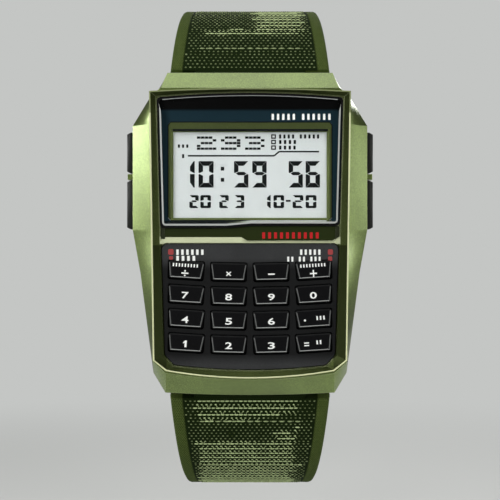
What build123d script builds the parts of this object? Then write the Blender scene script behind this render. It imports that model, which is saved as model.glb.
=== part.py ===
from build123d import *
import os
from math import asin, cos, degrees, pi, radians, sin, sqrt

"""Calculator watch: a painted case with a display window, a sixteen-key keypad, four side buttons and a
two-piece woven strap, unfastened and curved back behind the case.

Lengths are in millimetres. The model is drawn lying face up on a bench: x to the right as the wearer
reads it, y towards 12 o'clock, z out of the dial, with z = 0 on the case back's outer face. It is then
stood up, so that the dial faces -Y and 12 o'clock points to +Z.
"""

overrun = 1.0                 # how far a cutting shape runs past what it cuts
coil_sides = 6                # straight runs in a turn of a coil spring
fit_gap = 0.1                 # usual clearance between pieces that slip together
hinge_gap = 0.06              # clearance of a running fit

# Keys, in rows that curve up towards their ends
key_pitch_x = 6.3
key_pitch_y = 3.58
key_row_radius = 150.0
key_top_width = 5.3
key_low_width = 5.05
key_height = 2.7
key_corner = 0.22
key_draft = 25.0
key_low_rise = 0.72           # face above the plate at its 6 o'clock edge
key_high_rise = 0.1           # face above the plate at its 12 o'clock edge
key_clearance = 0.13
key_flange = 0.28             # how far the flange runs out beyond the key's sides
key_flange_thickness = 0.5
key_post_half = 0.7
key_travel = 0.5
pad_half = 1.2

# Crystal opening in the bezel
window_low_y = 1.03           # lower edge on the left
window_height = 19.32
window_bow = 0.65             # rise of the top edge's middle
window_taper = 0.5            # how much each side closes in towards 6 o'clock
window_step = 0.32            # how much higher the lower edge is on the right
window_step_left = -3.5
window_step_right = 0.15
window_corner_radius = 0.6

# Keypad opening, round the keys
bridge_width = 2.21           # between the crystal and the keypad, on the left
first_row_drop = 4.32         # from the keypad's top edge to the middle of the first row
last_row_drop = 1.46          # from the last row's middle to the end of the keypad's straight sides
keypad_side = 0.6             # beside the lowest row
keypad_taper = 0.5
keypad_step = 0.1             # keypad's top corner, inside the crystal's lower corner
keypad_chamfer_x = 1.45
keypad_chamfer_rise = 1.56
keypad_bow = 0.7
keypad_corner_radius = 0.9

# Bezel: its ridge, out from the two openings
bezel_side = 1.05             # at the top corners
bezel_corner = 0.85
bezel_top = 0.6
bezel_low_side = 1.6
bezel_low_drop = 0.75
bezel_chamfer_side = 1.15
bezel_chamfer_drop = 0.74
bezel_bottom = 1.14
ridge_land = 0.15             # flat width of the ridge
slope_foot_gap = 0.15         # land between the foot of the inner slope and the openings
bridge_gap = 0.05             # round the bridge's rib, in the case

# Recessed panel on the bridge
panel_side = 0.1              # panel's end, inside the keypad's top corner
panel_left_rise = 0.91        # panel's lower edge, above the keypad
panel_right_rise = 0.38
panel_step_left = -1.3
panel_step_right = -0.4
panel_bevel = 0.9
panel_bevel_rise = 0.65
panel_crest = 0.13            # panel's top edge, above the keypad
panel_spread = 0.15

# Case: top edge of the flanks, out from the bezel's ridge
deck_margin = 0.05
deck_top_margin = 0.2
deck_root = 0.1               # corner points at 12 o'clock, from the ridge
deck_root_x = 1.2
deck_corner_drop = 1.2
deck_top_x = 0.4
deck_low_margin = 0.25
deck_foot_margin = 0.4
deck_foot_x = 0.1
deck_bottom_margin = 0.3

# Case: widest outline, at the foot of the flanks, out from their top edge
flank_width = 2.7
shoulder_length = 2.6         # at 12 o'clock
shoulder_in = 0.8
shoulder_root_in = 0.15
shoulder_root_out = 0.6
flank_start_out = 0.45
flank_start_rise = 0.3
flank_corner_run = 3.9        # from there to the widest stretch
waist_drop = 6.4
waist_in = 1.15
case_low_out = 0.15
case_low_drop = 1.9
case_foot_out = 0.2
foot_length = 3.2             # flank's length at 6 o'clock
foot_bow = 0.35
back_shrink_x_share = 0.925   # case outline at the back, as a share of the widest outline
back_shrink_y_share = 0.945

# Side buttons, from 12 o'clock to 6 o'clock
button_top_gap = 0.9          # from the case's upper corner
button_upper_length = 6.15
button_rib_length = 1.05
button_lower_length = 7.4
button_end_gap = 0.1
button_z = 4.3
button_height = 2.2
button_reach = 1.05           # button bar's thickness
button_proud = 0.95
button_travel = 0.5
slot_depth = 1.9
slot_gap = 0.1
button_end_bevel = 0.6
button_edge_bevel = 0.25
rib_proud = 0.85
rib_height = 2.0
stem_radius = 0.6
stem_gap = 0.05
stem_reach = 0.5              # stem's inner end, inside the cavity
button_spring_radius = 0.95
button_wire_radius = 0.1
button_spring_turns = 2
clip_half = 1.1
clip_thickness = 0.25

# Strap: each half leaves its loop sloping down, and bends round in two arcs. Angles are from straight out.
strap_thickness = 1.9
strap_width = 24.4
strap_end_width = 18.0
strap_taper_length = 58.0
upper_gap = 0.35              # from the case's end to where the strap is at its full width
upper_leave_angle = 34.0
upper_bend_radius = 28.0
upper_back_radius = 62.0
upper_length = 68.0           # from its full width to the buckle bar
lower_gap = 0.7
lower_leave_angle = 32.0
lower_bend_radius = 37.0
lower_back_radius = 92.0
lower_length = 108.0
bend_end_angle = 100.0
tip_length = 7.0
hole_radius = 1.1
hole_sides = 10
hole_pitch = 6.5
hole_count = 6
hole_first = 16.0             # first hole from the tail's tip

# Strap ends in the case
bar_inset = 2.5               # spring bars, in from the case's ends
lower_bar_inset = 1.7
bar_z = 3.4
bar_radius = 0.75
bar_gap = 0.1                 # strap's loop round the bar
bar_seat = 1.0                # bar's ends in the case's cheeks
loop_radius = 1.8             # outside of the strap's loop
pocket_gap = 0.3              # round the loop and beside the tab
pocket_wall = 1.4             # between the strap pocket and the cavity
pocket_roof_gap = 0.3
tab_half = 8.5

# Module cavity
keypad_ledge = 0.1            # cavity's side, inside the keypad's lower corner
cavity_cut = 0.8              # across its upright corners
boss_cut = 3.3                # the same low down, which leaves the four screw bosses
boss_seal_cut = 0.2           # further cut of the seal, outside that

# Case back, seal and screw heads
back_thickness = 0.8
back_margin_x = 0.6           # out from the cavity
back_margin_y = 0.8
back_corner = 2.6
screw_inset = 1.5             # from the case back's edges
screw_head_radius = 0.85
screw_head_depth = 0.45
screw_sink = 0.05             # head below the case back's face
screw_shank_radius = 0.35
shank_sides = 8
screw_length = 1.8            # in the case
back_seal_width = 0.5
back_seal_height = 0.35

# Module, from the back to the front
buzzer_radius = 6.5
buzzer_thickness = 0.25
buzzer_y = 9.5
buzzer_spring_y = 13.0
buzzer_spring_radius = 0.7
buzzer_wire_radius = 0.14
buzzer_spring_turns = 3
frame_gap = 0.5               # module frame, above the case back
frame_thickness = 3.3
battery_radius = 10.0
battery_thickness = 1.6
battery_y = -4.5
battery_lid_share = 0.3       # how much of the frame's thickness lies over the battery
clamp_width = 4.0
clamp_thickness = 0.25
clamp_end_gap = 0.6
module_end_gap = 0.3
board_thickness = 0.8
chip_size = 6.0
chip_height = 0.45
chip_x = -5.0
chip_y = 9.0
can_radius = 0.75
can_length = 6.0
can_x = 7.4
can_y = 12.5
light_gap = 0.5               # over the board
light_thickness = 0.4
light_side = 0.6              # inside the display's edges
light_end = 1.9
lcd_thickness = 1.2
lcd_margin = 0.65             # beyond the border's ends
zebra_width = 0.9
zebra_inset = 1.0             # from the display's ends
membrane_thickness = 0.7
membrane_side = 0.6            # inside the cavity's sides
pad_height = 0.25

# Display border, mask, crystal and its seal
border_side = 1.15            # border, inside the crystal's lower corners
border_low_gap = 1.17
border_high_gap = 3.6
border_corner = 0.7
border_width = 0.77
border_low_width = 0.37
border_high_width = 1.45
border_height = 0.8
mask_thickness = 0.4
mask_clearance = 0.05
crystal_thickness = 1.5
crystal_side_bevel = 0.45
crystal_side_drop = 0.5
crystal_top_bevel = 2.3
crystal_top_drop = 0.85
seal_width = 0.3

# Heights of the front
plate_drop = 0.1              # underside of the keypad plate, below the crystal's seat
plate_thickness = 1.25
plate_gap = 0.12
floor_rise = 0.3              # foot of the bezel's inner slope, above the plate
panel_depth = 0.4             # of the bridge's panel, below that foot
deck_drop = 0.25              # top edge of the flanks, below that foot
ridge_rise = 0.75             # ridge, above that foot
bridge_depth = 1.05           # underside of the bridge, below that foot
flank_drop = 3.0              # height of the flanks
taper_top = 3.0               # where the case wall starts to draw in towards the back

# Buckle, on the upper half's end
buckle_bar_radius = 0.7
buckle_loop_wall = 0.9
buckle_tab_half = 8.7
tongue_slot_half = 1.5
tongue_slot_length = 5.5
buckle_side_gap = 0.65        # between the strap's end and the buckle's arms
buckle_arm_width = 1.9
buckle_thickness = 2.2
buckle_window = 9.4           # bar centre to the cross bar's inner edge
buckle_cross_width = 2.6
buckle_corner = 1.6
buckle_eye_radius = 1.5
buckle_face = -1              # side of the buckle that the tongue lies on: +1 or -1
tongue_width = 1.9
tongue_thickness = 1.0
tongue_eye_radius = 1.35
tongue_overhang = 0.5
tongue_notch_depth = 0.5
tongue_knee_share = 0.65

# Keepers, round the upper half
keeper_width = 5.0
keeper_wall = 0.9
keeper_corner = 0.5
keeper_side_gap = 0.45
keeper_inner_gap = 0.3        # under the strap
keeper_room = 2.6             # above the strap, for the tail
fixed_keeper_from_bar = 9.0
free_keeper_from_bar = 23.0

# Worked out: half widths and y of the openings
half_row_shares = (-1.5, -0.5, 0.5, 1.5)
keypad_half_low = half_row_shares[-1] * key_pitch_x + key_top_width / 2 + keypad_side
keypad_half_top = keypad_half_low + keypad_taper
keypad_chamfer_half = keypad_half_low - keypad_chamfer_x
keypad_top_y = window_low_y - bridge_width
key_first_row_y = keypad_top_y - first_row_drop
keypad_low_y = key_first_row_y - 3 * key_pitch_y - last_row_drop
keypad_chamfer_y = keypad_low_y - keypad_chamfer_rise
keypad_bottom_y = keypad_chamfer_y - keypad_bow
window_half_low = keypad_half_top + keypad_step
window_half_top = window_half_low + window_taper
window_corner_y = window_low_y + window_height
window_top_y = window_corner_y + window_bow

# Worked out: the bezel's ridge
ridge_half_top = window_half_top + bezel_side
ridge_corner_y = window_corner_y + bezel_corner
ridge_top_y = window_top_y + bezel_top
ridge_half_low = keypad_half_low + bezel_low_side
ridge_low_y = keypad_low_y - bezel_low_drop
ridge_chamfer_half = keypad_chamfer_half + bezel_chamfer_side
ridge_chamfer_y = keypad_chamfer_y - bezel_chamfer_drop
ridge_bottom_y = keypad_bottom_y - bezel_bottom

# Worked out: top edge of the flanks
deck_half = ridge_half_top + deck_margin
deck_corner_half = ridge_half_top - deck_margin
deck_root_half = deck_corner_half - deck_root_x
deck_top_half = deck_root_half - deck_top_x
deck_top_y = ridge_top_y + deck_top_margin
deck_root_y = ridge_top_y - deck_root
deck_corner_y = ridge_corner_y - deck_corner_drop
deck_low_half = ridge_half_low + deck_margin
deck_low_y = ridge_low_y - deck_low_margin
deck_foot_half = ridge_chamfer_half + deck_foot_x
deck_foot_y = ridge_chamfer_y - deck_foot_margin
deck_bottom_y = ridge_bottom_y - deck_bottom_margin

# Worked out: the case's widest outline, its buttons and the strap's bars
case_half = deck_half + flank_width
shoulder_half = deck_top_half - shoulder_in
case_top_y = deck_top_y + shoulder_length
shoulder_root_half = deck_root_half - shoulder_root_in
shoulder_root_y = deck_root_y + shoulder_root_out
flank_start_half = deck_corner_half + flank_start_out
flank_start_y = deck_corner_y + flank_start_rise
case_wide_top_y = flank_start_y - flank_corner_run
button_high_y = case_wide_top_y - button_top_gap
button_rib_high_y = button_high_y - button_upper_length
button_rib_low_y = button_rib_high_y - button_rib_length
button_low_y = button_rib_low_y - button_lower_length
case_wide_low_y = button_low_y - button_end_gap
waist_half = case_half - waist_in
waist_y = case_wide_low_y - waist_drop
case_low_half = deck_low_half + case_low_out
case_low_y = deck_low_y - case_low_drop
case_foot_half = deck_foot_half + case_foot_out
case_foot_y = deck_foot_y - foot_length
case_bottom_y = case_foot_y - foot_bow
bar_ys = {1: case_top_y - bar_inset, -1: case_foot_y + lower_bar_inset}
wall_ys = {end: y - end * (loop_radius + pocket_gap) for end, y in bar_ys.items()}

# Worked out: cavity, module and case back
pocket_half = tab_half + pocket_gap
cavity_half_x = keypad_half_low - keypad_ledge
cavity_high_y = wall_ys[1] - pocket_wall
cavity_low_y = wall_ys[-1] + pocket_wall
cavity_span = (cavity_low_y, cavity_high_y)
module_half_x = cavity_half_x - stem_reach - button_travel - fit_gap
module_span = (cavity_low_y + module_end_gap, cavity_high_y - module_end_gap)
back_half_x = cavity_half_x + back_margin_x
back_span = (cavity_low_y - back_margin_y, cavity_high_y + back_margin_y)

# Worked out: heights above the case back's outer face
frame_base = back_thickness + frame_gap
frame_top = frame_base + frame_thickness
battery_top = frame_top - battery_lid_share * frame_thickness
board_base = frame_top + fit_gap
board_top = board_base + board_thickness
light_base = board_top + light_gap
lcd_base = light_base + light_thickness
lcd_top = lcd_base + lcd_thickness
crystal_base = lcd_top + border_height
seat_level = crystal_base - mask_thickness
crystal_top = crystal_base + crystal_thickness
plate_base = seat_level - plate_drop
plate_top = plate_base + plate_thickness
frame_floor = plate_top + floor_rise
deck_top = frame_floor - deck_drop
ridge_level = frame_floor + ridge_rise
flank_low = deck_top - flank_drop
pocket_roof = bar_z + loop_radius + pocket_roof_gap
pad_top = board_top + membrane_thickness + pad_height
key_post_base = pad_top + key_travel + hinge_gap

# Worked out: display
border_half = window_half_low - border_side
border_low_y = window_low_y + border_low_gap
border_high_y = window_corner_y - border_high_gap
view_half = border_half - border_width
view_low_y = border_low_y + border_low_width
view_high_y = border_high_y - border_high_width
lcd_half = border_half + mask_clearance
lcd_low_y = border_low_y - lcd_margin
lcd_high_y = border_high_y + lcd_margin
buckle_inner_half = buckle_tab_half + buckle_side_gap


def mirrored(points):
    """The points, followed by their mirror images in x in reverse order."""
    return points + [(-x, y) for x, y in reversed(points)]


def block(x_span, y_span, z_span):
    """A box between low and high values of x, y and z."""
    (x0, x1), (y0, y1), (z0, z1) = x_span, y_span, z_span
    middle = Pos((x0 + x1) / 2, (y0 + y1) / 2, (z0 + z1) / 2)
    return middle * Box(x1 - x0, y1 - y0, z1 - z0)


def raised(sketch, low, high, taper=0):
    """A flat outline drawn at z = 0, extruded between two heights."""
    return extrude(Pos(0, 0, low) * sketch, high - low, dir=(0, 0, 1), taper=taper)


def rounded_slab(half_x, y_span, z_span, corner):
    """A slab with rounded corners, centred in x."""
    low, high = y_span
    outline = Pos(0, (low + high) / 2) * RectangleRounded(2 * half_x, high - low, corner)
    return raised(outline, *z_span)


def cut_rectangle(half_x, y_span, corner):
    """A rectangle centred in x, with its corners cut off."""
    low, high = y_span
    top = [(half_x - corner, high), (half_x, high - corner)]
    bottom = [(half_x, low + corner), (half_x - corner, low)]
    return make_face(Polyline(*mirrored(top + bottom), close=True))


def cut_slab(half_x, y_span, z_span, corner):
    """A slab centred in x, with its upright corners cut off."""
    return raised(cut_rectangle(half_x, y_span, corner), *z_span)


def widened(span, margin):
    return span[0] - margin, span[1] + margin


def rod(start, end, radius):
    """A round bar from one point to another."""
    along = Vector(*end) - Vector(*start)
    return extrude(Plane(start, z_dir=along) * Circle(radius), along.length)


def ring_between(outer, inner, low, high):
    """The band between two outlines, extruded."""
    return raised(outer - inner, low, high)


def framed_outline(top_half, corner_y, top_y, low_half, low_y, chamfer_half, chamfer_y, bottom_y):
    """The outline that the bezel's ridge and the foot of its inner slope share: a bowed top, straight sides
    that close in, cut corners and a bowed bottom."""
    edges = [
        ThreePointArc((-top_half, corner_y), (0, top_y), (top_half, corner_y)),
        Line((top_half, corner_y), (low_half, low_y)),
        Line((low_half, low_y), (chamfer_half, chamfer_y)),
        ThreePointArc((chamfer_half, chamfer_y), (0, bottom_y), (-chamfer_half, chamfer_y)),
        Line((-chamfer_half, chamfer_y), (-low_half, low_y)),
        Line((-low_half, low_y), (-top_half, corner_y)),
    ]
    return make_face(edges)


def ridge_outline(inset):
    """The bezel's ridge, drawn in by an inset."""
    return framed_outline(
        ridge_half_top - inset, ridge_corner_y - inset, ridge_top_y - inset,
        ridge_half_low - inset, ridge_low_y, ridge_chamfer_half - inset / 2, ridge_chamfer_y + inset,
        ridge_bottom_y + inset,
    )


def slope_foot_outline():
    """The foot of the bezel's inner slope, just outside the crystal and the keypad."""
    out = slope_foot_gap
    return framed_outline(
        window_half_top + out, window_corner_y + out, window_top_y + out, keypad_half_low + out,
        keypad_low_y, keypad_chamfer_half + out, keypad_chamfer_y - out, keypad_bottom_y - out,
    )


def window_outline(inset):
    """The crystal's opening: a bowed top edge, and a lower edge that steps up on the right."""
    top, low = window_corner_y - inset, window_low_y + inset
    half_top, half_low = window_half_top - inset, window_half_low - inset
    edges = [
        ThreePointArc((-half_top, top), (0, window_top_y - inset), (half_top, top)),
        Polyline(
            (half_top, top), (half_low, low + window_step), (window_step_right, low + window_step),
            (window_step_left, low), (-half_low, low), (-half_top, top),
        ),
    ]
    face = make_face(edges)
    corners = [v for v in face.vertices() if abs(v.X) > window_half_low / 2]
    return fillet(corners, window_corner_radius)


def keypad_outline(inset):
    """The keypad's opening: a straight top edge, cut lower corners and a bowed lower edge."""
    top, low = keypad_top_y - inset, keypad_low_y
    half_top, half_low = keypad_half_top - inset, keypad_half_low - inset
    chamfer_half, chamfer_y = keypad_chamfer_half - inset / 2, keypad_chamfer_y + inset
    edges = [
        Polyline(
            (-chamfer_half, chamfer_y), (-half_low, low), (-half_top, top),
            (half_top, top), (half_low, low), (chamfer_half, chamfer_y),
        ),
        ThreePointArc((chamfer_half, chamfer_y), (0, keypad_bottom_y + inset), (-chamfer_half, chamfer_y)),
    ]
    face = make_face(edges)
    return fillet(face.vertices(), keypad_corner_radius)


def case_outline():
    """The case seen from the front, at the foot of its flanks."""
    return bowed_foot([
        (shoulder_half, case_top_y), (shoulder_root_half, shoulder_root_y), (flank_start_half, flank_start_y),
        (case_half, case_wide_top_y), (case_half, case_wide_low_y), (waist_half, waist_y),
        (case_low_half, case_low_y), (case_foot_half, case_foot_y),
    ], case_bottom_y)


def deck_outline():
    """The top edge of the flanks, with a corner for each corner of case_outline."""
    def half_at(y):
        share = (case_wide_top_y - y) / (case_wide_top_y - deck_low_y)
        return deck_half + share * (deck_low_half - deck_half)
    return bowed_foot([
        (deck_top_half, deck_top_y), (deck_root_half, deck_root_y), (deck_corner_half, deck_corner_y),
        (deck_half, case_wide_top_y), (half_at(case_wide_low_y), case_wide_low_y),
        (half_at(waist_y), waist_y), (deck_low_half, deck_low_y), (deck_foot_half, deck_foot_y),
    ], deck_bottom_y)


def bowed_foot(side, bottom_y):
    """A mirrored outline from its right side's corners, closed by a bowed edge at 6 o'clock."""
    start, end = side[0], side[-1]
    foot = ThreePointArc(end, (0, bottom_y), (-end[0], end[1]))
    right, left = Polyline(*side), Polyline(*[(-x, y) for x, y in reversed(side)])
    return make_face([Line((-start[0], start[1]), start), right, foot, left])


def case_block():
    """The case before anything is cut out of it: shoulders and flanks, upright wall, drawn-in back."""
    wide = case_outline()
    narrow = scale(wide, by=(back_shrink_x_share, back_shrink_y_share, 1))
    sections = [
        Pos(0, 0, deck_top) * deck_outline(), Pos(0, 0, flank_low) * wide,
        Pos(0, 0, taper_top) * wide, Pos(0, 0, back_thickness) * narrow,
    ]
    return loft(sections, ruled=True)


def button_spans():
    """The y span of the lower and the upper button on each side."""
    return {"lower": (button_low_y, button_rib_low_y), "upper": (button_rib_high_y, button_high_y)}


def screw_places():
    """Where the case back's screws stand, in its four corners."""
    x = back_half_x - screw_inset
    return [(side * x, y) for side in (-1, 1) for y in widened(back_span, -screw_inset)]


def back_seal_ring(width, height):
    """The seal's ring round the cavity, cut across its corners to pass inside the screws."""
    low, high = cavity_span
    half_x = (cavity_half_x + back_half_x) / 2
    span = ((low + back_span[0]) / 2, (high + back_span[1]) / 2)
    corner = boss_cut + boss_seal_cut
    shift = (2 - sqrt(2)) * width / 2
    outer = cut_rectangle(half_x + width / 2, widened(span, width / 2), corner + shift)
    inner = cut_rectangle(half_x - width / 2, widened(span, -width / 2), corner - shift)
    return ring_between(outer, inner, back_thickness, back_thickness + height)


def case_shell():
    """The mid case: one casting with the module cavity, the crystal and keypad seats, the strap pockets, and
    the slots, bores and guard rib of the side buttons."""
    shell = case_block()
    for side in (-1, 1):
        rib_x = sorted((side * (case_half - overrun), side * (case_half + rib_proud)))
        rib_z = (button_z - rib_height / 2, button_z + rib_height / 2)
        shell += block(rib_x, (button_rib_low_y, button_rib_high_y), rib_z)
    shell -= cut_slab(cavity_half_x, cavity_span, (0, frame_top), boss_cut)
    shell -= cut_slab(cavity_half_x, cavity_span, (frame_top, seat_level), cavity_cut)
    shell -= raised(window_outline(0), seat_level, deck_top + overrun)
    shell -= raised(keypad_outline(0), plate_base, deck_top + overrun)
    strip_y = (keypad_top_y - keypad_corner_radius, window_low_y + window_corner_radius)
    shell -= block((-cavity_half_x, cavity_half_x), strip_y, (seat_level - overrun, deck_top + overrun))
    for end, outer_y in ((1, case_top_y), (-1, case_bottom_y)):
        pocket_y = sorted((wall_ys[end], outer_y + end * overrun))
        shell -= block((-pocket_half, pocket_half), pocket_y, (-overrun, pocket_roof))
        reach, y = pocket_half + bar_seat, bar_ys[end]
        shell -= rod((-reach, y, bar_z), (reach, y, bar_z), bar_radius + hinge_gap)
    for side in (-1, 1):
        for low, high in button_spans().values():
            slot_x = sorted((side * (case_half - slot_depth), side * (case_half + button_proud + overrun)))
            slot_z = button_height / 2 + slot_gap
            shell -= block(slot_x, (low - slot_gap, high + slot_gap), (button_z - slot_z, button_z + slot_z))
            middle = (low + high) / 2
            outside, inside = side * (case_half + overrun), side * (cavity_half_x - overrun)
            shell -= rod((inside, middle, button_z), (outside, middle, button_z), stem_radius + stem_gap)
    for x, y in screw_places():
        shell -= Pos(x, y) * shank(0, back_thickness + screw_length + fit_gap, hinge_gap)
    return shell - back_seal_ring(back_seal_width, back_seal_height)


def bezel_frame():
    """The front frame: a sharp ridge all round, a slope down to the two openings, and the bridge between
    them with its recessed panel."""
    frame = raised(ridge_outline(0), deck_top, ridge_level)
    rib_half, rib_base = cavity_half_x - bridge_gap, frame_floor - bridge_depth
    frame += block((-rib_half, rib_half), (keypad_top_y, window_low_y), (rib_base, deck_top))
    slope = [
        Pos(0, 0, frame_floor) * slope_foot_outline(), Pos(0, 0, ridge_level) * ridge_outline(ridge_land),
    ]
    frame -= loft(slope, ruled=True)
    frame -= raised(window_outline(0), rib_base - overrun, ridge_level + overrun)
    frame -= raised(keypad_outline(0), rib_base - overrun, ridge_level + overrun)
    top = window_low_y + window_step
    half, crest = keypad_half_top - panel_side, keypad_top_y + panel_crest
    left, right = keypad_top_y + panel_left_rise, keypad_top_y + panel_right_rise
    low = [
        (-half, top), (-half, left), (panel_step_left, left), (panel_step_right, right),
        (half - panel_bevel, right), (half, right + panel_bevel_rise), (half, top),
    ]
    wide = half + panel_spread
    high = [
        (-wide, top), (-wide, crest), (panel_step_left, crest), (panel_step_right, crest),
        (half - panel_bevel, crest), (wide, crest + panel_bevel_rise), (wide, top),
    ]
    panel = [
        Pos(0, 0, level) * make_face(Polyline(*points, close=True))
        for level, points in ((frame_floor - panel_depth, low), (frame_floor, high))
    ]
    return frame - loft(panel, ruled=True)


def crystal():
    """The display's crystal: a broad facet along the top, bevelled sides and a stepped lower edge."""
    glass = raised(window_outline(seal_width), crystal_base, crystal_top)
    top_face = glass.faces().sort_by(Axis.Z)[-1]
    glass = chamfer(top_face.edges(), crystal_side_bevel, crystal_side_drop)
    facet_low = (window_corner_y - seal_width - crystal_top_bevel, crystal_top)
    facet_high = (window_top_y, crystal_top - crystal_top_drop)
    cutter = Polyline(
        facet_low, facet_high, (window_top_y + overrun, crystal_top), (window_top_y, crystal_top + overrun),
        close=True,
    )
    wedge = extrude(Plane.YZ * make_face(cutter), window_half_top + overrun, both=True)
    return glass - wedge


def crystal_gasket():
    """The black seal that shows as a thin line round the crystal."""
    return ring_between(window_outline(0), window_outline(seal_width), seat_level, frame_floor)


def border_outline(grow=0):
    height = border_high_y - border_low_y + 2 * grow
    outline = RectangleRounded(2 * (border_half + grow), height, border_corner)
    return Pos(0, (border_low_y + border_high_y) / 2) * outline


def view_outline(grow=0):
    outline = Rectangle(2 * (view_half + grow), view_high_y - view_low_y + 2 * grow)
    return Pos(0, (view_low_y + view_high_y) / 2) * outline


def display_mask():
    """The dark mask under the crystal, open where the display's border stands."""
    return ring_between(window_outline(seal_width), border_outline(mask_clearance), seat_level, crystal_base)


def window_frame():
    """The green border round the display, with a bevelled inner lip."""
    border = ring_between(border_outline(), view_outline(), lcd_top, crystal_base)
    lip_width, lip_foot = (border_half - view_half) / 2, (lcd_top + crystal_base) / 2
    lip = [Pos(0, 0, lip_foot) * view_outline(), Pos(0, 0, crystal_base) * view_outline(lip_width)]
    return border - loft(lip, ruled=True)


def lcd_glass():
    """The liquid crystal display: two glass plates, the lower one with a ledge for its contacts."""
    share = 0.5
    middle = lcd_base + share * (lcd_top - lcd_base)
    lower = block((-lcd_half, lcd_half), (lcd_low_y, lcd_high_y), (lcd_base, middle))
    upper = block((-lcd_half, lcd_half), (lcd_low_y + zebra_width, lcd_high_y), (middle, lcd_top))
    return lower + upper


def backlight_panel():
    """The panel that lights the display from behind."""
    half = lcd_half - light_side
    return block((-half, half), (lcd_low_y + light_end, lcd_high_y - light_end), (light_base, lcd_base))


def zebra_strips():
    """The two rubber strips that join the display to the board."""
    half_x, half_y = lcd_half - zebra_inset, zebra_width / 2
    strips = [
        block((-half_x, half_x), (y - half_y, y + half_y), (board_top, lcd_base))
        for y in (lcd_low_y + zebra_inset, lcd_high_y - zebra_inset)
    ]
    return Compound(children=strips)


def circuit_board():
    """The board, across the whole module."""
    return cut_slab(module_half_x, module_span, (board_base, board_top), cavity_cut)


def board_parts():
    """On the board: the driver chip on its front, the quartz can on its back."""
    half, chip_z = chip_size / 2, (board_top, board_top + chip_height)
    chip = block((chip_x - half, chip_x + half), (chip_y - half, chip_y + half), chip_z)
    can_z = board_base - can_radius
    can = rod((can_x, can_y - can_length / 2, can_z), (can_x, can_y + can_length / 2, can_z), can_radius)
    return Compound(children=[chip, can])


def module_frame():
    """The moulded frame behind the board, with the battery's well and room for what hangs from the board."""
    corner = boss_cut - (cavity_half_x - module_half_x) - (2 - sqrt(2)) * module_end_gap
    frame = cut_slab(module_half_x, module_span, (frame_base, frame_top), corner)
    frame -= rod((0, battery_y, 0), (0, battery_y, battery_top), battery_radius + fit_gap)
    half_x, half_y = can_radius + fit_gap, can_length / 2 + fit_gap
    frame -= block(
        (can_x - half_x, can_x + half_x), (can_y - half_y, can_y + half_y),
        (board_base - 2 * half_x, frame_top + overrun),
    )
    room = buzzer_spring_radius + 2 * buzzer_wire_radius + fit_gap
    frame -= block((-room, room), (buzzer_spring_y - room, buzzer_spring_y + room), (0, frame_top + overrun))
    battery_base = battery_top - battery_thickness
    clamp_room = (battery_y - clamp_width / 2 - fit_gap, battery_y + clamp_width / 2 + fit_gap)
    reach = module_half_x - clamp_end_gap + fit_gap
    return frame - block((-reach, reach), clamp_room, (0, battery_base))


def coin_battery():
    """The coin cell."""
    return rod((0, battery_y, battery_top - battery_thickness), (0, battery_y, battery_top), battery_radius)


def battery_clamp():
    """The spring steel strap across the back of the battery."""
    top = battery_top - battery_thickness
    half_x, half_y = module_half_x - clamp_end_gap, clamp_width / 2
    return block((-half_x, half_x), (battery_y - half_y, battery_y + half_y), (top - clamp_thickness, top))


def coil(radius, wire, length, turns):
    """A coil spring of square wire along z from z = 0, in straight runs."""
    steps = coil_sides * turns
    rise = (length - 2 * wire) / steps
    sections = []
    for step in range(steps + 1):
        turn = 2 * pi * step / coil_sides
        centre = (radius * cos(turn), radius * sin(turn), wire + rise * step)
        radial = Plane(centre, x_dir=(cos(turn), sin(turn), 0), z_dir=(-sin(turn), cos(turn), 0))
        sections.append(radial * Rectangle(2 * wire, 2 * wire))
    return loft(sections, ruled=True)


def buzzer_disc():
    """The piezo disc on the case back."""
    return rod((0, buzzer_y, back_thickness), (0, buzzer_y, back_thickness + buzzer_thickness), buzzer_radius)


def buzzer_spring():
    """The contact coil between the board and the buzzer."""
    low = back_thickness + buzzer_thickness + hinge_gap
    spring = coil(buzzer_spring_radius, buzzer_wire_radius, board_base - hinge_gap - low, buzzer_spring_turns)
    return Pos(0, buzzer_spring_y, low) * spring


def key_layout():
    """Each key's name, with its place and turn in its curved row."""
    names = [
        ["divide", "multiply", "minus", "plus"], ["7", "8", "9", "0"],
        ["4", "5", "6", "point"], ["1", "2", "3", "equals"],
    ]
    places = {}
    for row, row_names in enumerate(names):
        for share, name in zip(half_row_shares, row_names):
            x = share * key_pitch_x
            turn = asin(x / key_row_radius)
            lift = key_row_radius * (1 - cos(turn))
            y = key_first_row_y - row * key_pitch_y + lift
            places["key_" + name] = Pos(x, y) * Rot(0, 0, degrees(turn))
    return places


def key_outline(grow=0):
    """A key where it passes through the plate: a little narrower towards 6 o'clock."""
    half_y = key_height / 2 + grow
    corners = [(key_top_width / 2 + grow, half_y), (key_low_width / 2 + grow, -half_y)]
    outline = make_face(Polyline(*mirrored(corners), close=True))
    return chamfer(outline.vertices(), key_corner)


def key_blank():
    """One key about its own centre: a post, a flange under the plate, an upright stretch through the plate,
    and a wedge whose face rises towards 6 o'clock with drafted sides."""
    stretch = raised(key_outline(), plate_base, plate_top)
    wedge = raised(key_outline(), plate_top, plate_top + key_low_rise, taper=key_draft)
    half_y = key_height / 2
    far = half_y + overrun
    climb = (key_low_rise - key_high_rise) / key_height
    cutter = Polyline(
        (far, plate_top + key_high_rise - climb * overrun),
        (-far, plate_top + key_low_rise + climb * overrun),
        (far, plate_top + key_low_rise + overrun), close=True,
    )
    wedge -= extrude(Plane.YZ * make_face(cutter), key_top_width, both=True)
    flange = Rectangle(key_top_width + 2 * key_flange, key_height + 2 * key_flange)
    foot_base = plate_base - key_flange_thickness
    foot = raised(flange, foot_base, plate_base)
    post = raised(Rectangle(2 * key_post_half, 2 * key_post_half), key_post_base, foot_base)
    return stretch + wedge + foot + post


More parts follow.
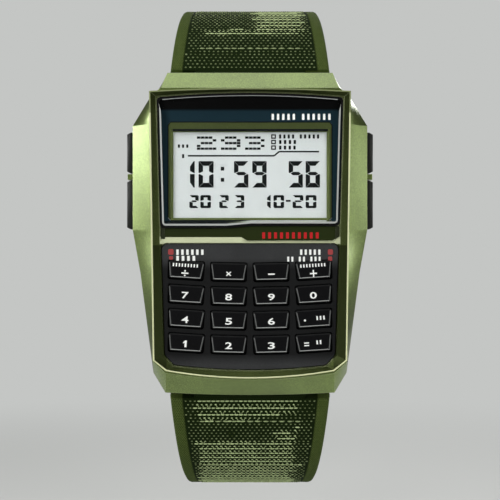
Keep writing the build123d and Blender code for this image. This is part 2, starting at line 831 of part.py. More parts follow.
def keypad_plate():
    """The black plate round the keys."""
    plate = raised(keypad_outline(plate_gap), plate_base, plate_top)
    opening = raised(key_outline(key_clearance), plate_base - overrun, plate_top + overrun)
    for place in key_layout().values():
        plate -= place * opening
    return plate


def key_membrane():
    """The rubber sheet under the keys, with a low pad under each."""
    half_x, span_y = cavity_half_x - membrane_side, (module_span[0] + 2 * fit_gap, keypad_top_y)
    sheet = block((-half_x, half_x), span_y, (board_top, board_top + membrane_thickness))
    pad = raised(Rectangle(2 * pad_half, 2 * pad_half), board_top + membrane_thickness, pad_top)
    for place in key_layout().values():
        sheet += place * pad
    return sheet


def button_bar_span():
    """Where a button bar starts and ends, out from the watch's middle."""
    outer = case_half + button_proud
    return outer - button_reach, outer


def side_button(side, low, high):
    """A flat button bar with bevelled edges, and its stem through the case wall."""
    inner, outer = button_bar_span()
    bar = block((inner, outer), (low, high), (button_z - button_height / 2, button_z + button_height / 2))
    front = bar.faces().sort_by(Axis.X)[-1]
    ends = front.edges().filter_by(Axis.Z)
    bar = chamfer(ends, button_end_bevel / 2, button_end_bevel)
    long_edges = bar.faces().sort_by(Axis.X)[-1].edges().filter_by(Axis.Y)
    bar = chamfer(long_edges, button_edge_bevel)
    middle = (low + high) / 2
    bar += rod((cavity_half_x - stem_reach, middle, button_z), (inner, middle, button_z), stem_radius)
    return bar if side > 0 else mirror(bar, about=Plane.YZ)


def button_clip(side, low, high):
    """The forked clip on the stem's inner end."""
    start = cavity_half_x - stem_gap - clip_thickness
    middle = (low + high) / 2
    span = (start, start + clip_thickness)
    clip = block(span, (middle - clip_half, middle + clip_half), (button_z - clip_half, button_z + clip_half))
    clip -= rod((start - overrun, middle, button_z), (start + overrun, middle, button_z), stem_radius)
    clip -= block(span, (middle - stem_radius, middle + stem_radius), (button_z - clip_half, button_z))
    return clip if side > 0 else mirror(clip, about=Plane.YZ)


def button_spring(side, low, high):
    """The return spring round the stem, between the slot's floor and the button."""
    start = case_half - slot_depth + hinge_gap
    end = button_bar_span()[0] - hinge_gap
    spring = coil(button_spring_radius, button_wire_radius, end - start, button_spring_turns)
    spring = Pos(start, (low + high) / 2, button_z) * Rot(0, 90, 0) * spring
    return spring if side > 0 else mirror(spring, about=Plane.YZ)


def shank(low, high, gap):
    """A screw's shank on the z axis, or its hole, larger by a gap."""
    return raised(RegularPolygon(screw_shank_radius + gap, shank_sides), low, high)


def case_back():
    """The steel back, with a stepped hole for each screw."""
    plate = rounded_slab(back_half_x, back_span, (0, back_thickness), back_corner)
    hole = raised(Circle(screw_head_radius + fit_gap), -overrun, screw_sink + screw_head_depth)
    hole += shank(0, back_thickness + overrun, fit_gap)
    for x, y in screw_places():
        plate -= Pos(x, y) * hole
    return plate


def case_back_screws():
    """The four screws: flat heads towards the wrist, shanks up into the case's bosses."""
    screw = raised(Circle(screw_head_radius), screw_sink, screw_sink + screw_head_depth)
    screw += shank(screw_sink + screw_head_depth, back_thickness + screw_length, 0)
    return Compound(children=[Pos(x, y) * screw for x, y in screw_places()])


def spring_bar(end):
    """A strap's spring bar, its ends seated in the case's cheeks."""
    reach = pocket_half + bar_seat - fit_gap
    return rod((-reach, bar_ys[end], bar_z), (reach, bar_ys[end], bar_z), bar_radius)


class StrapPath:
    """The middle line of a strap half in the yz plane. It leaves the loop round the spring bar in a straight
    lead, is at its full width from there on (s = 0), and bends back behind the case in two arcs. end is +1
    for the 12 o'clock half and -1 for the 6 o'clock half."""

    def __init__(self, end, start, leave_angle, bend_radius, back_radius, length):
        self.end, self.length = end, length
        self.leave, self.bend_end = radians(leave_angle), radians(bend_end_angle)
        self.bend_radius, self.back_radius = bend_radius, back_radius
        self.bend_length = bend_radius * (self.bend_end - self.leave)
        reach = loop_radius - strap_thickness / 2
        self.root = (abs(bar_ys[end]) + reach * sin(self.leave), bar_z + reach * cos(self.leave))
        self.lead = (start - self.root[0]) / cos(self.leave)
        self.start = (start, self.root[1] - self.lead * sin(self.leave))

    def at(self, s):
        """y, z and heading (radians turned from straight out) at a distance along the strap."""
        bend = min(s, self.bend_length)
        turned = self.leave + bend / self.bend_radius
        y = self.start[0] + self.bend_radius * (sin(turned) - sin(self.leave))
        z = self.start[1] - self.bend_radius * (cos(self.leave) - cos(turned))
        if s > self.bend_length:
            further = turned + (s - self.bend_length) / self.back_radius
            y += self.back_radius * (sin(further) - sin(turned))
            z -= self.back_radius * (cos(turned) - cos(further))
            turned = further
        return self.end * y, z, turned

    def plane(self, s):
        """A plane across the strap: local x across, local y towards the strap's outer face."""
        y, z, turned = self.at(s)
        heading = (0, self.end * cos(turned), -sin(turned))
        return Plane((0, y, z), x_dir=(-self.end, 0, 0), z_dir=heading)

    def frame(self, s):
        """A plane on the strap: local x across, local y towards its free end, local z out of a face."""
        across = self.plane(s)
        return Plane(across.origin, x_dir=across.x_dir, z_dir=across.x_dir.cross(across.z_dir))

    def stations(self):
        """Where one stretch of the band meets the next: the bend's end and the taper's end."""
        return sorted({0, self.bend_length, strap_taper_length, self.length})


upper_path = StrapPath(
    1, case_top_y + upper_gap, upper_leave_angle, upper_bend_radius, upper_back_radius, upper_length
)
lower_path = StrapPath(
    -1, lower_gap - case_foot_y, lower_leave_angle, lower_bend_radius, lower_back_radius, lower_length
)


def strap_width_at(s):
    share = min(s / strap_taper_length, 1)
    return strap_width + share * (strap_end_width - strap_width)


def band_stretch(path, start, stop):
    """A stretch of band: the arc between two stations, cut to its taper on both sides."""
    corners = []
    for s in (start, (start + stop) / 2, stop):
        y, z, turned = path.at(s)
        out = Vector(0, path.end * sin(turned), cos(turned)) * (strap_thickness / 2)
        corners.append((Vector(0, y, z) + out, Vector(0, y, z) - out))
    outer, inner = [list(side) for side in zip(*corners)]
    edges = [
        ThreePointArc(*outer), Line(outer[-1], inner[-1]),
        ThreePointArc(*reversed(inner)), Line(inner[0], outer[0]),
    ]
    arc = extrude(make_face(edges), strap_width, dir=(1, 0, 0), both=True)
    first, last = path.plane(start).origin, path.plane(stop).origin
    chord = last - first
    facing = Plane(first, x_dir=(1, 0, 0), z_dir=Vector(1, 0, 0).cross(chord))
    half_first, half_last = strap_width_at(start) / 2, strap_width_at(stop) / 2
    extra = strap_thickness
    growth = (half_first - half_last) / chord.length * extra
    corners = [(half_first + growth, -extra), (half_last - growth, chord.length + extra)]
    return arc & extrude(facing * make_face(Polyline(*mirrored(corners), close=True)), strap_width, both=True)


def strap_band(path):
    """The band's stretches, end to end."""
    stations = path.stations()
    band = band_stretch(path, *stations[:2])
    for start, stop in zip(stations[1:], stations[2:]):
        band += band_stretch(path, start, stop)
    return band


def strap_root(path):
    """The narrow tab in the case's pocket, looped round the spring bar."""
    y = bar_ys[path.end]
    loop = rod((-tab_half, y, bar_z), (tab_half, y, bar_z), loop_radius)
    tab = extrude(path.plane(0) * Rectangle(2 * tab_half, strap_thickness), -path.lead)
    return loop + tab


def bar_bore(path):
    """The spring bar's bore through the strap's loop."""
    reach, y = tab_half + overrun, bar_ys[path.end]
    return rod((-reach, y, bar_z), (reach, y, bar_z), bar_radius + bar_gap)


def buckle_point():
    """Where the buckle's bar lies, at the end of the 12 o'clock half."""
    return upper_path.frame(upper_length)


def strap_upper():
    """The 12 o'clock half: tab, band, and a loop for the buckle's bar with a slot for its tongue."""
    strap = strap_root(upper_path) + strap_band(upper_path) - bar_bore(upper_path)
    place = buckle_point()
    radius = buckle_bar_radius + bar_gap + buckle_loop_wall
    across = Rot(0, 90, 0)
    strap += place * across * Cylinder(radius, 2 * buckle_tab_half)
    strap -= place * across * Cylinder(buckle_bar_radius + bar_gap, 2 * buckle_tab_half + overrun)
    reach = radius + overrun
    slot = Box(2 * tongue_slot_half, tongue_slot_length + reach, 2 * reach)
    strap -= place * Pos(0, (reach - tongue_slot_length) / 2, 0) * slot
    side = buckle_inner_half + overrun - buckle_tab_half
    for x in (-1, 1):
        corner = Box(side, 2 * radius, 2 * reach)
        strap -= place * Pos(x * (buckle_tab_half + side / 2), 0, 0) * corner
    return strap


def strap_lower():
    """The 6 o'clock half: tab, band with a rounded tip, and a row of holes."""
    strap = strap_root(lower_path) + strap_band(lower_path) - bar_bore(lower_path)
    half = strap_end_width / 2
    wide, far = half + overrun, tip_length + overrun
    edges = [
        Line((-wide, 0), (-half, 0)), ThreePointArc((-half, 0), (0, tip_length), (half, 0)),
        Polyline((half, 0), (wide, 0), (wide, far), (-wide, far), (-wide, 0)),
    ]
    place = lower_path.frame(lower_length - tip_length)
    strap -= extrude(place * make_face(edges), 2 * strap_thickness, both=True)
    for number in range(hole_count):
        s = lower_length - hole_first - number * hole_pitch
        hole = lower_path.frame(s) * RegularPolygon(hole_radius, hole_sides)
        strap -= extrude(hole, 2 * strap_thickness, both=True)
    return strap


def buckle_place():
    """The unfastened buckle's place: hanging from its bar, so straight down with 12 o'clock up."""
    bar = buckle_point()
    return Plane(bar.origin, x_dir=bar.x_dir, z_dir=bar.x_dir.cross(Vector(0, -1, 0)))


def buckle_frame():
    """The buckle: two eyes on the bar, two arms and a cross bar with a notch for the tongue."""
    outer_half = buckle_inner_half + buckle_arm_width
    length = buckle_window + buckle_cross_width
    outline = Pos(0, length / 2) * Rectangle(2 * outer_half, length)
    outline = fillet(outline.vertices().sort_by(Axis.Y)[2:], buckle_corner)
    window = Pos(0, buckle_window / 2) * Rectangle(2 * buckle_inner_half, buckle_window)
    frame = extrude(outline - window, buckle_thickness / 2, both=True)
    for x in (-1, 1):
        eye = Pos(x * (buckle_inner_half + buckle_arm_width / 2), 0, 0) * Rot(0, 90, 0)
        frame += eye * Cylinder(buckle_eye_radius, buckle_arm_width)
        frame -= eye * Cylinder(buckle_bar_radius + hinge_gap, buckle_arm_width + overrun)
    notch_z = buckle_face * (buckle_thickness / 2 - tongue_notch_depth / 2)
    notch = Box(tongue_width + 2 * fit_gap, buckle_cross_width + overrun, tongue_notch_depth)
    frame -= Pos(0, buckle_window + buckle_cross_width / 2, notch_z) * notch
    return buckle_place() * frame


def buckle_bar():
    """The buckle's bar, its ends in the frame's eyes."""
    half = buckle_inner_half + buckle_arm_width
    return buckle_place() * Rot(0, 90, 0) * Cylinder(buckle_bar_radius, 2 * half)


def buckle_tongue():
    """The tongue: an eye on the bar, and a bent prong whose tip lies in the cross bar's notch."""
    rest = buckle_face * (buckle_thickness / 2 - tongue_notch_depth + hinge_gap)
    over = rest + buckle_face * tongue_thickness
    reach = buckle_window + buckle_cross_width + tongue_overhang
    half = buckle_face * tongue_thickness / 2
    knee = tongue_knee_share * buckle_window
    side = Polyline(
        (0, half), (knee, half), (buckle_window, over), (reach, over), (reach, rest), (buckle_window, rest),
        (knee, -half), (0, -half), close=True,
    )
    prong = extrude(Plane.YZ * make_face(side), tongue_width / 2, both=True)
    across = Rot(0, 90, 0)
    prong += across * Cylinder(tongue_eye_radius, tongue_width)
    prong -= across * Cylinder(buckle_bar_radius + hinge_gap, tongue_width + overrun)
    return buckle_place() * prong


def keeper(distance_from_bar):
    """A loop round the strap, with room for the tail above it."""
    s = upper_length - distance_from_bar
    half = strap_width_at(s) / 2 + keeper_side_gap
    low = -strap_thickness / 2 - keeper_inner_gap
    high = strap_thickness / 2 + keeper_room
    inner = cut_rectangle(half, (low, high), keeper_corner)
    outer_corner = keeper_corner + (2 - sqrt(2)) * keeper_wall
    outer = cut_rectangle(half + keeper_wall, widened((low, high), keeper_wall), outer_corner)
    band = extrude(outer - inner, keeper_width / 2, both=True)
    return upper_path.plane(s) * band


def build():
    """Every piece by name, on the bench."""
    pieces = {
        "case_shell": case_shell(), "bezel_frame": bezel_frame(), "crystal": crystal(),
        "crystal_gasket": crystal_gasket(), "display_mask": display_mask(), "window_frame": window_frame(),
        "lcd_glass": lcd_glass(), "backlight_panel": backlight_panel(), "zebra_strips": zebra_strips(),
        "circuit_board": circuit_board(), "board_parts": board_parts(), "module_frame": module_frame(),
        "coin_battery": coin_battery(), "battery_clamp": battery_clamp(), "buzzer_disc": buzzer_disc(),
        "buzzer_spring": buzzer_spring(), "keypad_plate": keypad_plate(), "key_membrane": key_membrane(),
        "case_back": case_back(), "case_back_screws": case_back_screws(),
        "case_back_gasket": back_seal_ring(back_seal_width - fit_gap, back_seal_height - fit_gap / 2),
        "spring_bar_upper": spring_bar(1), "spring_bar_lower": spring_bar(-1),
        "strap_upper": strap_upper(), "strap_lower": strap_lower(), "buckle_frame": buckle_frame(),
        "buckle_bar": buckle_bar(), "buckle_tongue": buckle_tongue(),
        "fixed_keeper": keeper(fixed_keeper_from_bar), "free_keeper": keeper(free_keeper_from_bar),
    }
    blank = key_blank()
    for name, place in key_layout().items():
        pieces[name] = place * blank
    for side, side_name in ((-1, "left"), (1, "right")):
        for level, (low, high) in button_spans().items():
            tag = side_name + "_" + level
            pieces["button_" + tag] = side_button(side, low, high)
            pieces["button_clip_" + tag] = button_clip(side, low, high)
            pieces["button_spring_" + tag] = button_spring(side, low, high)
    return pieces


os.makedirs("parts", exist_ok=True)
stand_up = Rot(90, 0, 0)
for name, piece in build().items():
    export_step(stand_up * piece, os.path.join("parts", name + ".step"))
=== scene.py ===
from math import asin, copysign, cos, pi, radians, sin, sqrt

import bmesh
import bpy
from mathutils import Matrix, Vector, noise


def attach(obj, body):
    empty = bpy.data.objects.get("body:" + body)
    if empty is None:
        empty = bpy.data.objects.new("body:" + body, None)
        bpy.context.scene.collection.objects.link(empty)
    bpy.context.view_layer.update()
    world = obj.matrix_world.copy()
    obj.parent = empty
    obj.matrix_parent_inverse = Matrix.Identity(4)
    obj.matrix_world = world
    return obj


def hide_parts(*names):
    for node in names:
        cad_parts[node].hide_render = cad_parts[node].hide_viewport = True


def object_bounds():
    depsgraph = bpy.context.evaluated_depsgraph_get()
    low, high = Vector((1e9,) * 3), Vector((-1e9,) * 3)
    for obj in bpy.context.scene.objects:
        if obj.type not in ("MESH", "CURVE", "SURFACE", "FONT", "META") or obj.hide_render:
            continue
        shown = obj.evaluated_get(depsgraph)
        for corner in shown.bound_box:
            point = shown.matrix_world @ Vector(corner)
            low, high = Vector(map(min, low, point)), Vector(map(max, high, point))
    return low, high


mm = 0.001
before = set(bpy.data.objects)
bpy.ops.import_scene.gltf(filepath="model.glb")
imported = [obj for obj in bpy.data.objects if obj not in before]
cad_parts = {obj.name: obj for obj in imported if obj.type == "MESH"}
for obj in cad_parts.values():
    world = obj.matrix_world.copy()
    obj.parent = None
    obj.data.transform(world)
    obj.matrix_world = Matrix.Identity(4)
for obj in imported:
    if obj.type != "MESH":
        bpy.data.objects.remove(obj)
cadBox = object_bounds()
print("frame loaded, nodes:", len(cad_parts))


# places and meshes. x to the right, y towards 12 o'clock, h out of the dial, all in millimetres
def at(x, y, h):
    return Vector((x, -h, y)) * mm


def addObject(name, mesh, material=None):
    piece = bpy.data.objects.new(name, mesh)
    bpy.context.scene.collection.objects.link(piece)
    if material:
        mesh.materials.append(material)
    return piece


def meshPiece(name, points, faces, material=None):
    mesh = bpy.data.meshes.new(name)
    mesh.from_pydata([tuple(p) for p in points], [], faces)
    mesh.validate()
    return addObject(name, mesh, material)


def smoothBy(mesh, angle):
    for face in mesh.polygons:
        face.use_smooth = True
    mesh.set_sharp_from_angle(angle=radians(angle))


def edit(mesh, change):
    # one change to a mesh, made on its bmesh
    work = bmesh.new()
    work.from_mesh(mesh)
    change(work)
    work.to_mesh(mesh)
    work.free()


def faceOutwards(mesh):
    edit(mesh, lambda work: bmesh.ops.recalc_face_normals(work, faces=work.faces))


def tubeFaces(rows, sides, closed=False):
    # faces between rows of points, each row a ring
    faces = []
    for i in range(rows if closed else rows - 1):
        j = (i + 1) % rows
        for k in range(sides):
            m = (k + 1) % sides
            faces.append((i * sides + k, i * sides + m, j * sides + m, j * sides + k))
    return faces


def settled(piece, smoothAngle=None):
    # the evaluated result as a plain mesh, with no modifier left
    graph = bpy.context.evaluated_depsgraph_get()
    mesh = bpy.data.meshes.new_from_object(piece.evaluated_get(graph), preserve_all_data_layers=True, depsgraph=graph)
    piece.modifiers.clear()
    piece.data = mesh
    if smoothAngle:
        smoothBy(mesh, smoothAngle)
    return piece


def carve(piece, work, smoothAngle, overlapping=False):
    # takes the solids of a bmesh out of a piece
    mesh = bpy.data.meshes.new("cutter")
    work.to_mesh(mesh)
    work.free()
    cutter, hollow = addObject("cutter", mesh), piece.modifiers.new("hollow", "BOOLEAN")
    hollow.object, hollow.operation, hollow.solver, hollow.use_self = cutter, "DIFFERENCE", "EXACT", overlapping
    settled(piece, smoothAngle)
    bpy.data.objects.remove(cutter)


def carried(piece, body, slot, replaced=None):
    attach(piece, body)
    if replaced:
        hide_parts(replaced)
    return piece


def mergedCopy(nodeName, name):
    # a CAD node's loose triangles, joined into whole faces
    work = bmesh.new()
    work.from_mesh(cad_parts[nodeName].data)
    bmesh.ops.remove_doubles(work, verts=work.verts, dist=1e-6)
    bmesh.ops.dissolve_limit(work, angle_limit=radians(1), verts=work.verts, edges=work.edges)
    work.verts.index_update()
    points = [v.co.copy() for v in work.verts]
    faces = [[v.index for v in f.verts] for f in work.faces]
    work.free()
    return meshPiece(name, points, faces)


def softCopy(nodeName, name, width, paint, body, slot, segments=2):
    # a CAD node with eased edges
    piece = mergedCopy(nodeName, name)
    piece.data.materials.append(paints[paint])
    edges = piece.modifiers.new("edges", "BEVEL")
    edges.width, edges.segments, edges.limit_method = width * mm, segments, "ANGLE"
    edges.angle_limit = radians(25)
    carried(settled(piece, 40), body, slot, nodeName)


# nodes: values may be numbers, or sockets of the same tree
def feed(node, inputs):
    for key, value in inputs.items():
        if isinstance(value, bpy.types.NodeSocket):
            node.id_data.links.new(value, node.inputs[key])
        else:
            node.inputs[key].default_value = value


def addNode(tree, kind, inputs=None, **settings):
    node = tree.nodes.new(kind)
    for key, value in settings.items():
        setattr(node, key, value)
    feed(node, inputs or {})
    return node


def treeOf(values):
    return next(v for v in values if isinstance(v, bpy.types.NodeSocket)).id_data


def maths(operation, *values):
    return addNode(treeOf(values), "ShaderNodeMath", dict(enumerate(values)), operation=operation).outputs[0]


def times(a, b):
    return maths("MULTIPLY", a, b)


def graded(value, scale, offset):
    return maths("MULTIPLY_ADD", value, scale, offset)


def between(value, low, high):
    return times(maths("GREATER_THAN", value, low), maths("LESS_THAN", value, high))


def ramp(value, low, high, first=0.0, last=1.0, **settings):
    inputs = {"Value": value, "From Min": low, "From Max": high, "To Min": first, "To Max": last}
    return addNode(value.id_data, "ShaderNodeMapRange", inputs, **settings).outputs[0]


def vectorMaths(operation, *values):
    node = addNode(treeOf(values), "ShaderNodeVectorMath", dict(enumerate(values)), operation=operation)
    return node.outputs["Value" if operation in ("LENGTH", "DOT_PRODUCT") else "Vector"]


def inMillimetres(place):
    return vectorMaths("MULTIPLY", place, (1 / mm, 1 / mm, 1 / mm))


def noiseAt(place, scale, detail, roughness=0.5):
    inputs = {"Vector": place, "Scale": scale, "Detail": detail, "Roughness": roughness}
    return addNode(place.id_data, "ShaderNodeTexNoise", inputs).outputs[0]


def split(place):
    return addNode(place.id_data, "ShaderNodeSeparateXYZ", {0: place}).outputs


def mixColours(share, a, b):
    a, b = ((*c, 1) if isinstance(c, tuple) else c for c in (a, b))
    return addNode(share.id_data, "ShaderNodeMix", {0: share, 6: a, 7: b}, data_type="RGBA").outputs[2]


def tones(base, spread):
    # a colour made darker and lighter by a share of itself
    return tuple(c * (1 - spread) for c in base), tuple(min(c * (1 + spread), 1) for c in base)


# effects that several materials share
def newGroup(name, inputs, outputs):
    group = bpy.data.node_groups.new(name, "ShaderNodeTree")
    for label, value in inputs.items():
        kind = "NodeSocketFloat" if isinstance(value, float) else "NodeSocketVector"
        socket = group.interface.new_socket(name=label, in_out="INPUT", socket_type=kind)
        if value is not None:
            socket.default_value = value
    for label in outputs:
        kind = "NodeSocketVector" if label == "Normal" else "NodeSocketFloat"
        group.interface.new_socket(name=label, in_out="OUTPUT", socket_type=kind)
    return group, group.nodes.new("NodeGroupInput").outputs, group.nodes.new("NodeGroupOutput")


def effect(tree, name, inputs):
    return addNode(tree, "ShaderNodeGroup", inputs, node_tree=bpy.data.node_groups[name]).outputs


def speckle(place, grain, cloud):
    return effect(place.id_data, "fineSpeckle", {"Vector": place, "Grain": grain, "Cloud": cloud})


def speckleGroup():
    # fine grain: a tone and a height from two sizes of noise, sizes in millimetres
    inputs, outputs = {"Vector": None, "Grain": 0.15, "Cloud": 8.0}, ["Tone", "Cloudiness", "Height"]
    group, given, out = newGroup("fineSpeckle", inputs, outputs)
    place = inMillimetres(given["Vector"])
    small, wide = maths("DIVIDE", 1, given["Grain"]), maths("DIVIDE", 1, given["Cloud"])
    fine = noiseAt(place, small, 1.5, 0.6)
    cloud = noiseAt(place, wide, 2.0)
    cells = addNode(group, "ShaderNodeTexVoronoi", {"Vector": place, "Scale": small}).outputs["Distance"]
    feed(out, {"Tone": times(maths("ADD", fine, cells), 0.6), "Cloudiness": cloud, "Height": fine})


def edgeGroup():
    # rounded normals and a mask along sharp edges
    group, given, out = newGroup("roundedEdgeMask", {"Width": 0.0002, "Strength": 4.0}, ["Normal", "Mask"])
    rounded = addNode(group, "ShaderNodeBevel", {"Radius": given["Width"]}, samples=6).outputs[0]
    plain = group.nodes.new("ShaderNodeNewGeometry").outputs["Normal"]
    away = maths("SUBTRACT", 1, vectorMaths("DOT_PRODUCT", rounded, plain))
    feed(out, {"Normal": rounded, "Mask": maths("MINIMUM", times(away, given["Strength"]), 1)})


def threadGroup():
    # plain weave on a coordinate in millimetres: how high the thread on top stands, and its fibres
    group, given, out = newGroup("wovenThreads", {"Vector": None, "Across": 0.5, "Along": 0.5}, ["Height", "Fibre"])
    u, v, _ = split(given["Vector"])
    u, v = maths("DIVIDE", u, given["Across"]), maths("DIVIDE", v, given["Along"])
    over = graded(times(maths("SINE", times(u, 2 * pi)), maths("SINE", times(v, pi))), 0.5, 0.5)
    ridge = maths("ABSOLUTE", maths("COSINE", times(v, pi)))
    stretched = vectorMaths("MULTIPLY", given["Vector"], (4, 14, 4))
    feed(out, {"Height": graded(ridge, 0.35, times(over, 0.65)), "Fibre": noiseAt(stretched, 1.0, 2.0)})


def brushGroup():
    # fine scratches, long where Lines is small
    group, given, out = newGroup("brushedLines", {"Vector": None, "Lines": (2.0, 60.0, 60.0)}, ["Tone"])
    stretched = vectorMaths("MULTIPLY", inMillimetres(given["Vector"]), given["Lines"])
    feed(out, {"Tone": noiseAt(stretched, 0.2, 3.0)})


for build in (speckleGroup, edgeGroup, threadGroup, brushGroup):
    build()


def startMaterial(name, base, roughness, metallic=0.0, gloss=0.5):
    material = bpy.data.materials.new(name)
    material.use_nodes = True
    shader = material.node_tree.nodes["Principled BSDF"]
    feed(shader, {"Base Color": (*base, 1), "Roughness": roughness, "Metallic": metallic, "Specular IOR Level": gloss})
    return material, shader, material.node_tree.nodes.new("ShaderNodeTexCoord").outputs["Object"]


def bumped(height, strength, distance, normal=None):
    inputs = {"Height": height, "Strength": strength, "Distance": distance * mm}
    if normal:
        inputs["Normal"] = normal
    return addNode(height.id_data, "ShaderNodeBump", inputs).outputs[0]


def inRegion(place, low, high, under, over, inner, outer):
    # 1 between two places along the case, two heights and two distances from its middle
    x, depth, level = split(place)
    share = times(between(level, low * mm, high * mm), between(maths("ABSOLUTE", x), inner * mm, outer * mm))
    return times(share, between(depth, -over * mm, -under * mm))


def grainedMaterial(name, look):
    # paint or moulded plastic: two tones in a fine speckle, edges lightened by painted highlight, rounded normals
    material, shader, place = startMaterial(name, look["base"], look["roughness"], look["metallic"], look["gloss"])
    grain = speckle(place, look["grain"], look["cloud"])
    edge = effect(place.id_data, "roundedEdgeMask", {"Width": look["edge"] * mm, "Strength": look["edgeMaskStrength"]})
    tone = graded(grain["Cloudiness"], 0.35, times(grain["Tone"], 0.65))
    colour = mixColours(graded(tone, 2.4, -0.7), *tones(look["base"], look["contrast"]))
    # edges lightened: painted highlight on the visible paints and plastics, scuffed edges on the hidden parts
    colour = mixColours(times(edge["Mask"], look["edgeLitAndWornShare"]), colour, look["edgeLitAndWornColour"])
    metal = look["metallic"]
    # patches of another colour; on the bezel these are painted highlights and painted shade
    for *region, tint, metallic in look["regions"]:
        share = inRegion(place, *region)
        colour = mixColours(share, colour, tint)
        metal = graded(share, metallic - look["metallic"], metal)
    if "shade" in look:  # painted shade between the key rows: darker between two places along the case, over a soft edge
        level, (low, high, soft, share) = split(place)[2], look["shade"]
        dark = times(ramp(level, (low - soft) * mm, low * mm), ramp(level, high * mm, (high + soft) * mm, 1.0, 0.0))
        colour = mixColours(times(dark, share), colour, (0.002, 0.002, 0.002))
    feed(shader, {
        "Base Color": colour, "Metallic": metal, "Coat Weight": look["coat"], "Coat Roughness": look["coatRoughness"],
        "Roughness": graded(grain["Tone"], look["roughSpread"], look["roughness"] - look["roughSpread"] / 2),
        "Normal": bumped(grain["Height"], look["bump"], look["grain"], edge["Normal"]),
    })
    return material


# regions: low and high y, low and high h, inner and outer distance from the middle, colour, metallic
plainFinish = dict(
    roughness=0.5, metallic=0.0, gloss=0.5, coat=0.0, coatRoughness=0.12, grain=0.10, cloud=5.0, edge=0.05, edgeMaskStrength=1.0,
    contrast=0.2, edgeLitAndWornShare=0.1, edgeLitAndWornColour=(0.1, 0.1, 0.1), roughSpread=0.1, bump=0.05, regions=[],
)
finishes = {
    "olivePaint": dict(
        base=(0.19, 0.26, 0.065), roughness=0.31, metallic=0.85, grain=0.16, cloud=9.0, edge=0.14, edgeMaskStrength=5.0,
        contrast=0.45, edgeLitAndWornShare=0.75, edgeLitAndWornColour=(0.85, 0.90, 0.62), roughSpread=0.16, bump=0.12, coat=0.85,
        coatRoughness=0.26, regions=[(-1.3, 1.8, 9.1, 9.3, 12.2, 13.5, (0.02, 0.027, 0.006), 0.4)],
    ),
    "bezelPaint": dict(
        base=(0.052, 0.068, 0.018), roughness=0.42, metallic=0.85, grain=0.16, cloud=7.0, edge=0.09, edgeMaskStrength=6.0,
        contrast=0.40, edgeLitAndWornShare=0.6, edgeLitAndWornColour=(0.60, 0.64, 0.40), roughSpread=0.14, bump=0.10,
        regions=[
            (-30, 18, 10.15, 10.3, -1, 30, (0.74, 0.77, 0.44), 0.1),  # ridge: painted highlight
            (18, 30, 10.15, 10.3, -1, 30, (0.26, 0.30, 0.13), 0.2),  # its upper end: dimmer painted highlight
            (-1.3, -0.24, 9.07, 9.5, -1, 13.32, (0.56, 0.60, 0.38), 0.3),  # edge over the keypad: painted highlight
            (-22, -1.5, 7.9, 10.14, 12.3, 14.4, (0.024, 0.032, 0.007), 0.85),  # slopes beside the keypad: painted shade
        ],
    ),
    "borderPaint": dict(
        base=(0.085, 0.110, 0.024), roughness=0.45, metallic=0.25, grain=0.12, cloud=6.0, edge=0.06, edgeMaskStrength=4.0,
        edgeLitAndWornShare=0.3, edgeLitAndWornColour=(0.35, 0.42, 0.16), bump=0.06,
    ),
    # its shade entry is painted shade across the key rows
    "plateInk": dict(
        base=(0.036, 0.037, 0.038), gloss=0.08, edge=0.08, edgeMaskStrength=5.0, contrast=0.35, edgeLitAndWornShare=0.5,
        edgeLitAndWornColour=(0.13, 0.13, 0.13), roughSpread=0.15, bump=0.12, shade=(-17.6, -5.0, 1.6, 0.80),
    ),
    "buttonBlack": dict(
        base=(0.010, 0.011, 0.009), roughness=0.36, gloss=0.25, cloud=4.0, edge=0.12, edgeMaskStrength=5.0, contrast=0.25,
        edgeLitAndWornShare=0.5, edgeLitAndWornColour=(0.30, 0.33, 0.24), roughSpread=0.12,
    ),
    "sealRubber": dict(base=(0.003, 0.003, 0.003), roughness=0.55, gloss=0.1, cloud=4.0, edge=0.04, edgeLitAndWornShare=0.0),
    "frameBlack": dict(base=(0.03, 0.03, 0.03), grain=0.2, bump=0.1),
    "boardGreen": dict(
        base=(0.03, 0.12, 0.05), roughness=0.35, grain=0.3, cloud=3.0, contrast=0.25, edgeLitAndWornColour=(0.2, 0.3, 0.15),
    ),
    "guideWhite": dict(
        base=(0.7, 0.75, 0.7), grain=0.3, cloud=6.0, contrast=0.05, edgeLitAndWornShare=0.0, edgeLitAndWornColour=(0.8, 0.8, 0.8),
        roughSpread=0.05, bump=0.03,
    ),
}
paints = {name: grainedMaterial(name, {**plainFinish, **look}) for name, look in finishes.items()}
metals = {
    "brushedSteel": dict(base=(0.56, 0.57, 0.56), roughness=0.30, lines=(2.0, 60.0, 60.0)),
    "screwSteel": dict(base=(0.36, 0.36, 0.35), roughness=0.38, lines=(20.0, 20.0, 20.0)),
    "bareBrass": dict(base=(0.72, 0.56, 0.28), roughness=0.28, lines=(20.0, 20.0, 20.0)),
}


steelLook = dict(contrast=0.18, roughSpread=0.25, edge=0.08, edgeMaskStrength=3.0, bump=0.12, depth=0.05)


def steelMaterial(name, base, roughness, lines):
    look = steelLook
    material, shader, place = startMaterial(name, base, roughness, 1.0)
    brush = effect(place.id_data, "brushedLines", {"Vector": place, "Lines": lines})["Tone"]
    edge = effect(place.id_data, "roundedEdgeMask", {"Width": look["edge"] * mm, "Strength": look["edgeMaskStrength"]})
    feed(shader, {
        "Base Color": mixColours(brush, *tones(base, look["contrast"])),
        "Roughness": graded(brush, look["roughSpread"], roughness - 0.1),
        "Normal": bumped(brush, look["bump"], look["depth"], edge["Normal"]),
    })
    return material


backLook = dict(
    inner=7.2, outer=9.6, line=0.12, pitch=0.6, lines=(60.0, 60.0, 1.5),
    dark=(0.40, 0.41, 0.40), light=(0.62, 0.63, 0.62), cut=(0.12, 0.12, 0.12),
)


